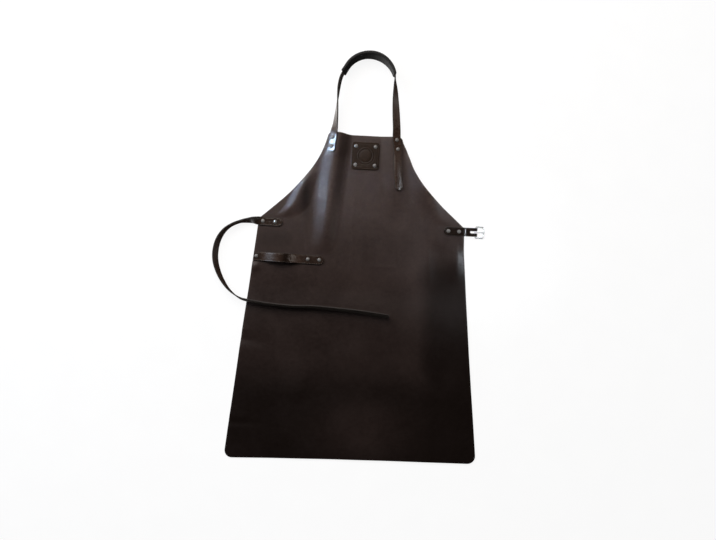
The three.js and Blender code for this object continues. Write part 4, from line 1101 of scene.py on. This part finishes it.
def make_tab():
    """Strap end that runs over the panel, round the buckle's bar and back under the panel, with a slot."""
    fold = WIRE + GAP + TAB["thickness"] / 2
    stack = GAP + TAB["thickness"] / 2
    top = float(grain_side(TAB["left"], TAB["y"])) + stack
    bottom = float(underside(TAB["left"], TAB["y"])) - stack
    radius = TAB["width"] / 2
    turns = np.append(ROUND_END, math.pi / 2)
    x = list(TAB["left"] + radius * (1 - np.cos(turns)))
    half = list(radius * np.sin(turns))
    flat = list(np.arange(x[-1] + TAB["step"], TAB["spread"], TAB["step"]))
    back = list(np.arange(TAB["spread"] - TAB["step"], TAB["back_left"], -TAB["step"])) + [TAB["back_left"]]
    arc = np.radians(np.linspace(90, -90, TAB["fold_stops"]))

    def eased(t, level, bar_level):
        at = TAB["spread"] + (BAR_X - TAB["spread"]) * t
        return at, level + (bar_level - level) * smoothstep(t, 0, 1)

    ease = np.linspace(0, 1, TAB["ease_stops"])
    line = [(a, top) for a in x + flat] + [eased(t, top, BAR_Z + fold) for t in ease]
    line = [(a, b - TAB_DIP["depth"] * bell(a, TAB_DIP["x"], TAB_DIP["half"])) for a, b in line]
    line += [(BAR_X + fold * math.cos(a), BAR_Z + fold * math.sin(a)) for a in arc[1:-1]]
    line += [eased(t, bottom, BAR_Z - fold) for t in ease[::-1]] + [(a, bottom) for a in back]
    half += [radius] * (len(line) - len(half))
    centre = np.array([(a, TAB["y"], b) for a, b in line])
    travel = unit(np.gradient(centre, axis=0))
    across = np.tile([0.0, -1.0, 0.0], (len(line), 1))
    sections = (centre, across, np.cross(across, travel))
    tab = swept_piece("tab", sections, np.array(half), TAB["thickness"], TAB_RIVETS, shade=TAB["shade"])
    cutter = slot_cutter(fold)
    modifier = tab.modifiers.new("slot", "BOOLEAN")
    modifier.operation = "DIFFERENCE"
    modifier.solver = "EXACT"
    modifier.object = cutter
    applied(tab)
    bpy.data.objects.remove(cutter)
    return tab


def slot_cutter(fold):
    """Upright block with one round end, for the tab's slot."""
    half = TAB_SLOT["width"] / 2
    right = BAR_X + 3 * fold
    turn = np.radians(np.linspace(90, 270, TAB_SLOT["stops"]))
    outline = [(TAB_SLOT["left"] + half + half * math.cos(a), TAB["y"] + half * math.sin(a)) for a in turn]
    outline += [(right, TAB["y"] - half), (right, TAB["y"] + half)]
    points = [(a, b, BAR_Z + way * TAB_SLOT["depth"] / 2) for way in (-1, 1) for a, b in outline]
    faces = tube_faces(2, len(outline)) + end_caps(2, len(outline))
    return make_piece("slot_cutter", points, faces, [STRAP_EDGE])


def tilted(points, angle):
    """Local points of the buckle turned about the bar and set in place."""
    c, s = math.cos(angle), math.sin(angle)
    points = np.asarray(points, float)
    x = points[:, 0] * c + points[:, 2] * s
    z = points[:, 2] * c - points[:, 0] * s
    return np.stack([x + BAR_X, points[:, 1] + TAB["y"], z + BAR_Z], axis=1)


def make_buckle():
    half = BUCKLE["height"] / 2 - WIRE
    heel, toe = BUCKLE["heel_corner"], BUCKLE["toe_corner"]
    corners = [(0, -half, heel, 180), (BUCKLE["reach"], -half, toe, 270), (BUCKLE["reach"], half, toe, 0),
               (0, half, heel, 90)]
    points = []
    for x, y, radius, start in corners:
        middle_x, middle_y = abs(x - radius), y - math.copysign(radius, y)
        for turn in np.radians(np.linspace(start, start + 90, WIRE_CORNER_STOPS)):
            for a in round_turns(WIRE_SIDES):
                out = radius + WIRE * math.cos(a)
                height = WIRE_FLATNESS * WIRE * math.sin(a)
                points.append((middle_x + out * math.cos(turn), middle_y + out * math.sin(turn), height))
    faces = tube_faces(len(points) // WIRE_SIDES, WIRE_SIDES, closed=True, flip=True)
    return make_piece("buckle", tilted(points, DROOP), faces, [BUCKLE_NICKEL])


def make_prong():
    """A tongue that thins to its tip and is wrapped round the bar as a flat strip."""
    clear = WIRE + PRONG["root"] + GAP
    tilt = math.asin(clear / BUCKLE["reach"]) - DROOP
    wrap = np.radians(np.linspace(*PRONG_WRAP, PRONG_WRAP_STOPS))
    line = np.array(TONGUE + [(PRONG_RING * math.cos(a), PRONG_RING * math.sin(a)) for a in wrap])
    travel = unit(np.gradient(line, axis=0))
    up = np.stack([travel[:, 1], -travel[:, 0]], axis=1)
    run = np.minimum(np.arange(len(line)) / (len(TONGUE) - 1), 1.0)
    wide = PRONG["tip_half"] + (PRONG["strip_half"] - PRONG["tip_half"]) * run ** PRONG["widening"]
    thick = PRONG["tip_thick"] + (PRONG["strip_thick"] - PRONG["tip_thick"]) * run
    wide[0], thick[0] = PRONG["end_half"], PRONG["end_thick"]
    points = []
    for i, (x, z) in enumerate(line):
        for a in round_turns(PRONG["sides"]):
            c, s = math.cos(a), math.sin(a)
            side = wide[i] * math.copysign(abs(c) ** PRONG["squareness"], c)
            lift = thick[i] * math.copysign(abs(s) ** PRONG["squareness"], s)
            points.append((x + up[i][0] * lift, side, z + up[i][1] * lift))
    faces = tube_faces(len(line), PRONG["sides"]) + end_caps(len(line), PRONG["sides"])
    return make_piece("prong", tilted(points, -tilt), faces, [BUCKLE_NICKEL])


# Assembly
panel = place(make_panel(), "apron", "panel_leather", "apron_panel")
neck, arch_rows = neck_rows()
neck_path = StrapPath(neck)
waist_path = StrapPath(WAIST_STRAP)
pad_first = len(NECK_STRAP_LEFT) - 1
pad_start = neck_path.row_distance[pad_first] + PAD_INSET_START
pad_end = neck_path.row_distance[pad_first + arch_rows] - PAD_INSET_END
tail_start = neck_path.row_distance[len(neck) - TAIL_ROWS]
neck_strap = make_strap("neckband", neck_path, NECK_RIVETS, tail_start)
place(neck_strap, "apron", "strap_leather", "neck_strap")
waist_strap = make_strap("waistband", waist_path, WAIST_RIVETS, shade=WAIST_SHADE)
place(waist_strap, "apron", "strap_leather", "waist_strap")
pad = place(make_pad(neck_path, pad_start, pad_end), "apron", "pad_leather", "neck_pad")
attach(make_pad_stitches(neck_path, pad_start, pad_end), "apron")
place(make_towel_strap(), "apron", "strap_leather", "towel_strap")
place(make_patch(), "apron", "patch_leather", "badge_patch")
place(make_tab(), "apron", "strap_leather", "buckle_tab")
place(make_buckle(), "buckle", "nickel", "buckle_frame")
place(make_prong(), "prong", "nickel", "buckle_prong")
for rivets, above, below in RIVET_STACKS:
    for node, x, y in rivets:
        make_rivet(node, x, y, above, below)

# Stage, lights and camera, in metres. Lights: name, place, aim, size, watts, tint, spread in degrees
FLOOR_HALF, FLOOR_HEIGHT, FLOOR_GLOW = 12.0, -0.0005, 0.9
LIGHTS = [
    ("beam_strap", (1.79, 0.63, 1.0), (0.098, 0.335, 0.015), (0.3, 0.3), 0.0035, (1.0, 0.88, 0.76), 6),
    ("window_left", (-1.85, 0.78, 1.15), (0.0, 0.2, 0.0), (1.3, 0.9), 28, (0.76, 0.86, 1.0), 180),
    ("beam_ridge", (-1.85, 0.78, 1.15), (-0.062, 0.185, 0.01), (0.16, 0.16), 0.165, (0.47, 0.70, 1.0), 6.5),
    ("window_top", (-0.35, 1.25, 1.35), (0.0, 0.1, 0.0), (1.5, 1.1), 30, (1.0, 0.93, 0.88), 180),
    ("beam_edge", (1.34, 0.3, 1.6), (0.285, 0.02, 0.0), (0.3, 0.3), 0.12, (0.85, 0.92, 1.0), 9),
    ("beam_towel", (1.3, 0.0, 1.6), (-0.135, -0.006, 0.0), (0.3, 0.3), 0.013, (1.0, 0.93, 0.86), 6),
]
CAMERA_HEIGHT, CAMERA_SPOT, CAMERA_TURN = 2.0, (0.02486, -0.02848), 2.91
CAMERA_SENSOR, CAMERA_LENS = 36.0, 41.33


def make_floor():
    mesh = bpy.data.meshes.new("floor")
    corners = [(x * FLOOR_HALF, y * FLOOR_HALF, 0) for x, y in ((-1, -1), (1, -1), (1, 1), (-1, 1))]
    mesh.from_pydata(corners, [], [[0, 1, 2, 3]])
    floor = bpy.data.objects.new("floor", mesh)
    bpy.context.scene.collection.objects.link(floor)
    material, tree, shader = material_of("pale_floor")
    cloud = noise(tree, object_place(tree), scale=14.0, detail=5.0, roughness=0.6)
    shade = ranged(tree, cloud, 0.3, 0.7, 0.0, 1.0)
    base = mixed(tree, shade, colour(0.12, 0.12, 0.12), colour(0.14, 0.14, 0.14))
    tree.links.new(base, shader.inputs["Base Color"])
    shader.inputs["Roughness"].default_value = 0.9
    shader.inputs["Specular IOR Level"].default_value = 0.1
    shader.inputs["Emission Color"].default_value = colour(1.0, 1.0, 1.0)
    shader.inputs["Emission Strength"].default_value = FLOOR_GLOW
    mesh.materials.append(material)
    floor.location.z = FLOOR_HEIGHT
    floor.visible_glossy = False


def area_light(name, spot, aim, size, watts, tint, spread):
    data = bpy.data.lights.new(name, "AREA")
    data.shape = "RECTANGLE"
    data.size, data.size_y = size
    data.energy = watts
    data.color = tint
    data.spread = math.radians(spread)
    lamp = bpy.data.objects.new(name, data)
    bpy.context.scene.collection.objects.link(lamp)
    lamp.location = spot
    lamp.rotation_euler = (Vector(aim) - Vector(spot)).to_track_quat("-Z", "Y").to_euler()


def make_world():
    """Pale near the horizon, dark overhead and below, apart from the pale floor by the left window."""
    world = bpy.data.worlds.new("soft_room")
    bpy.context.scene.world = world
    world.use_nodes = True
    tree = world.node_tree
    way = add(tree, "ShaderNodeTexCoord").outputs["Generated"]
    parts = add(tree, "ShaderNodeSeparateXYZ", {0: way}).outputs
    distance = add(tree, "ShaderNodeMath", {0: parts["Z"]}, operation="ABSOLUTE").outputs[0]
    horizon = ranged(tree, distance, 0.1, 0.35, 0.85, 0.012, smooth=True)
    below = ranged(tree, parts["Z"], -0.05, -0.25, 0.0, 1.0, smooth=True)
    left = ranged(tree, parts["X"], -0.2, -0.45, 0.0, 2.0, smooth=True)
    strength = maths(tree, "ADD", horizon, maths(tree, "MULTIPLY", below, left))
    background = tree.nodes["Background"]
    background.inputs["Color"].default_value = colour(1.0, 0.99, 0.98)
    tree.links.new(strength, background.inputs["Strength"])


def make_camera():
    data = bpy.data.cameras.new("camera")
    data.sensor_width = CAMERA_SENSOR
    data.lens = CAMERA_LENS
    camera = bpy.data.objects.new("camera", data)
    bpy.context.scene.collection.objects.link(camera)
    camera.location = (*CAMERA_SPOT, CAMERA_HEIGHT)
    camera.rotation_euler = (0.0, 0.0, math.radians(CAMERA_TURN))
    bpy.context.scene.camera = camera


make_floor()
for light in LIGHTS:
    area_light(*light)
make_world()
make_camera()
bpy.context.scene.view_settings.view_transform = "Standard"
bpy.context.scene.view_settings.look = "None"
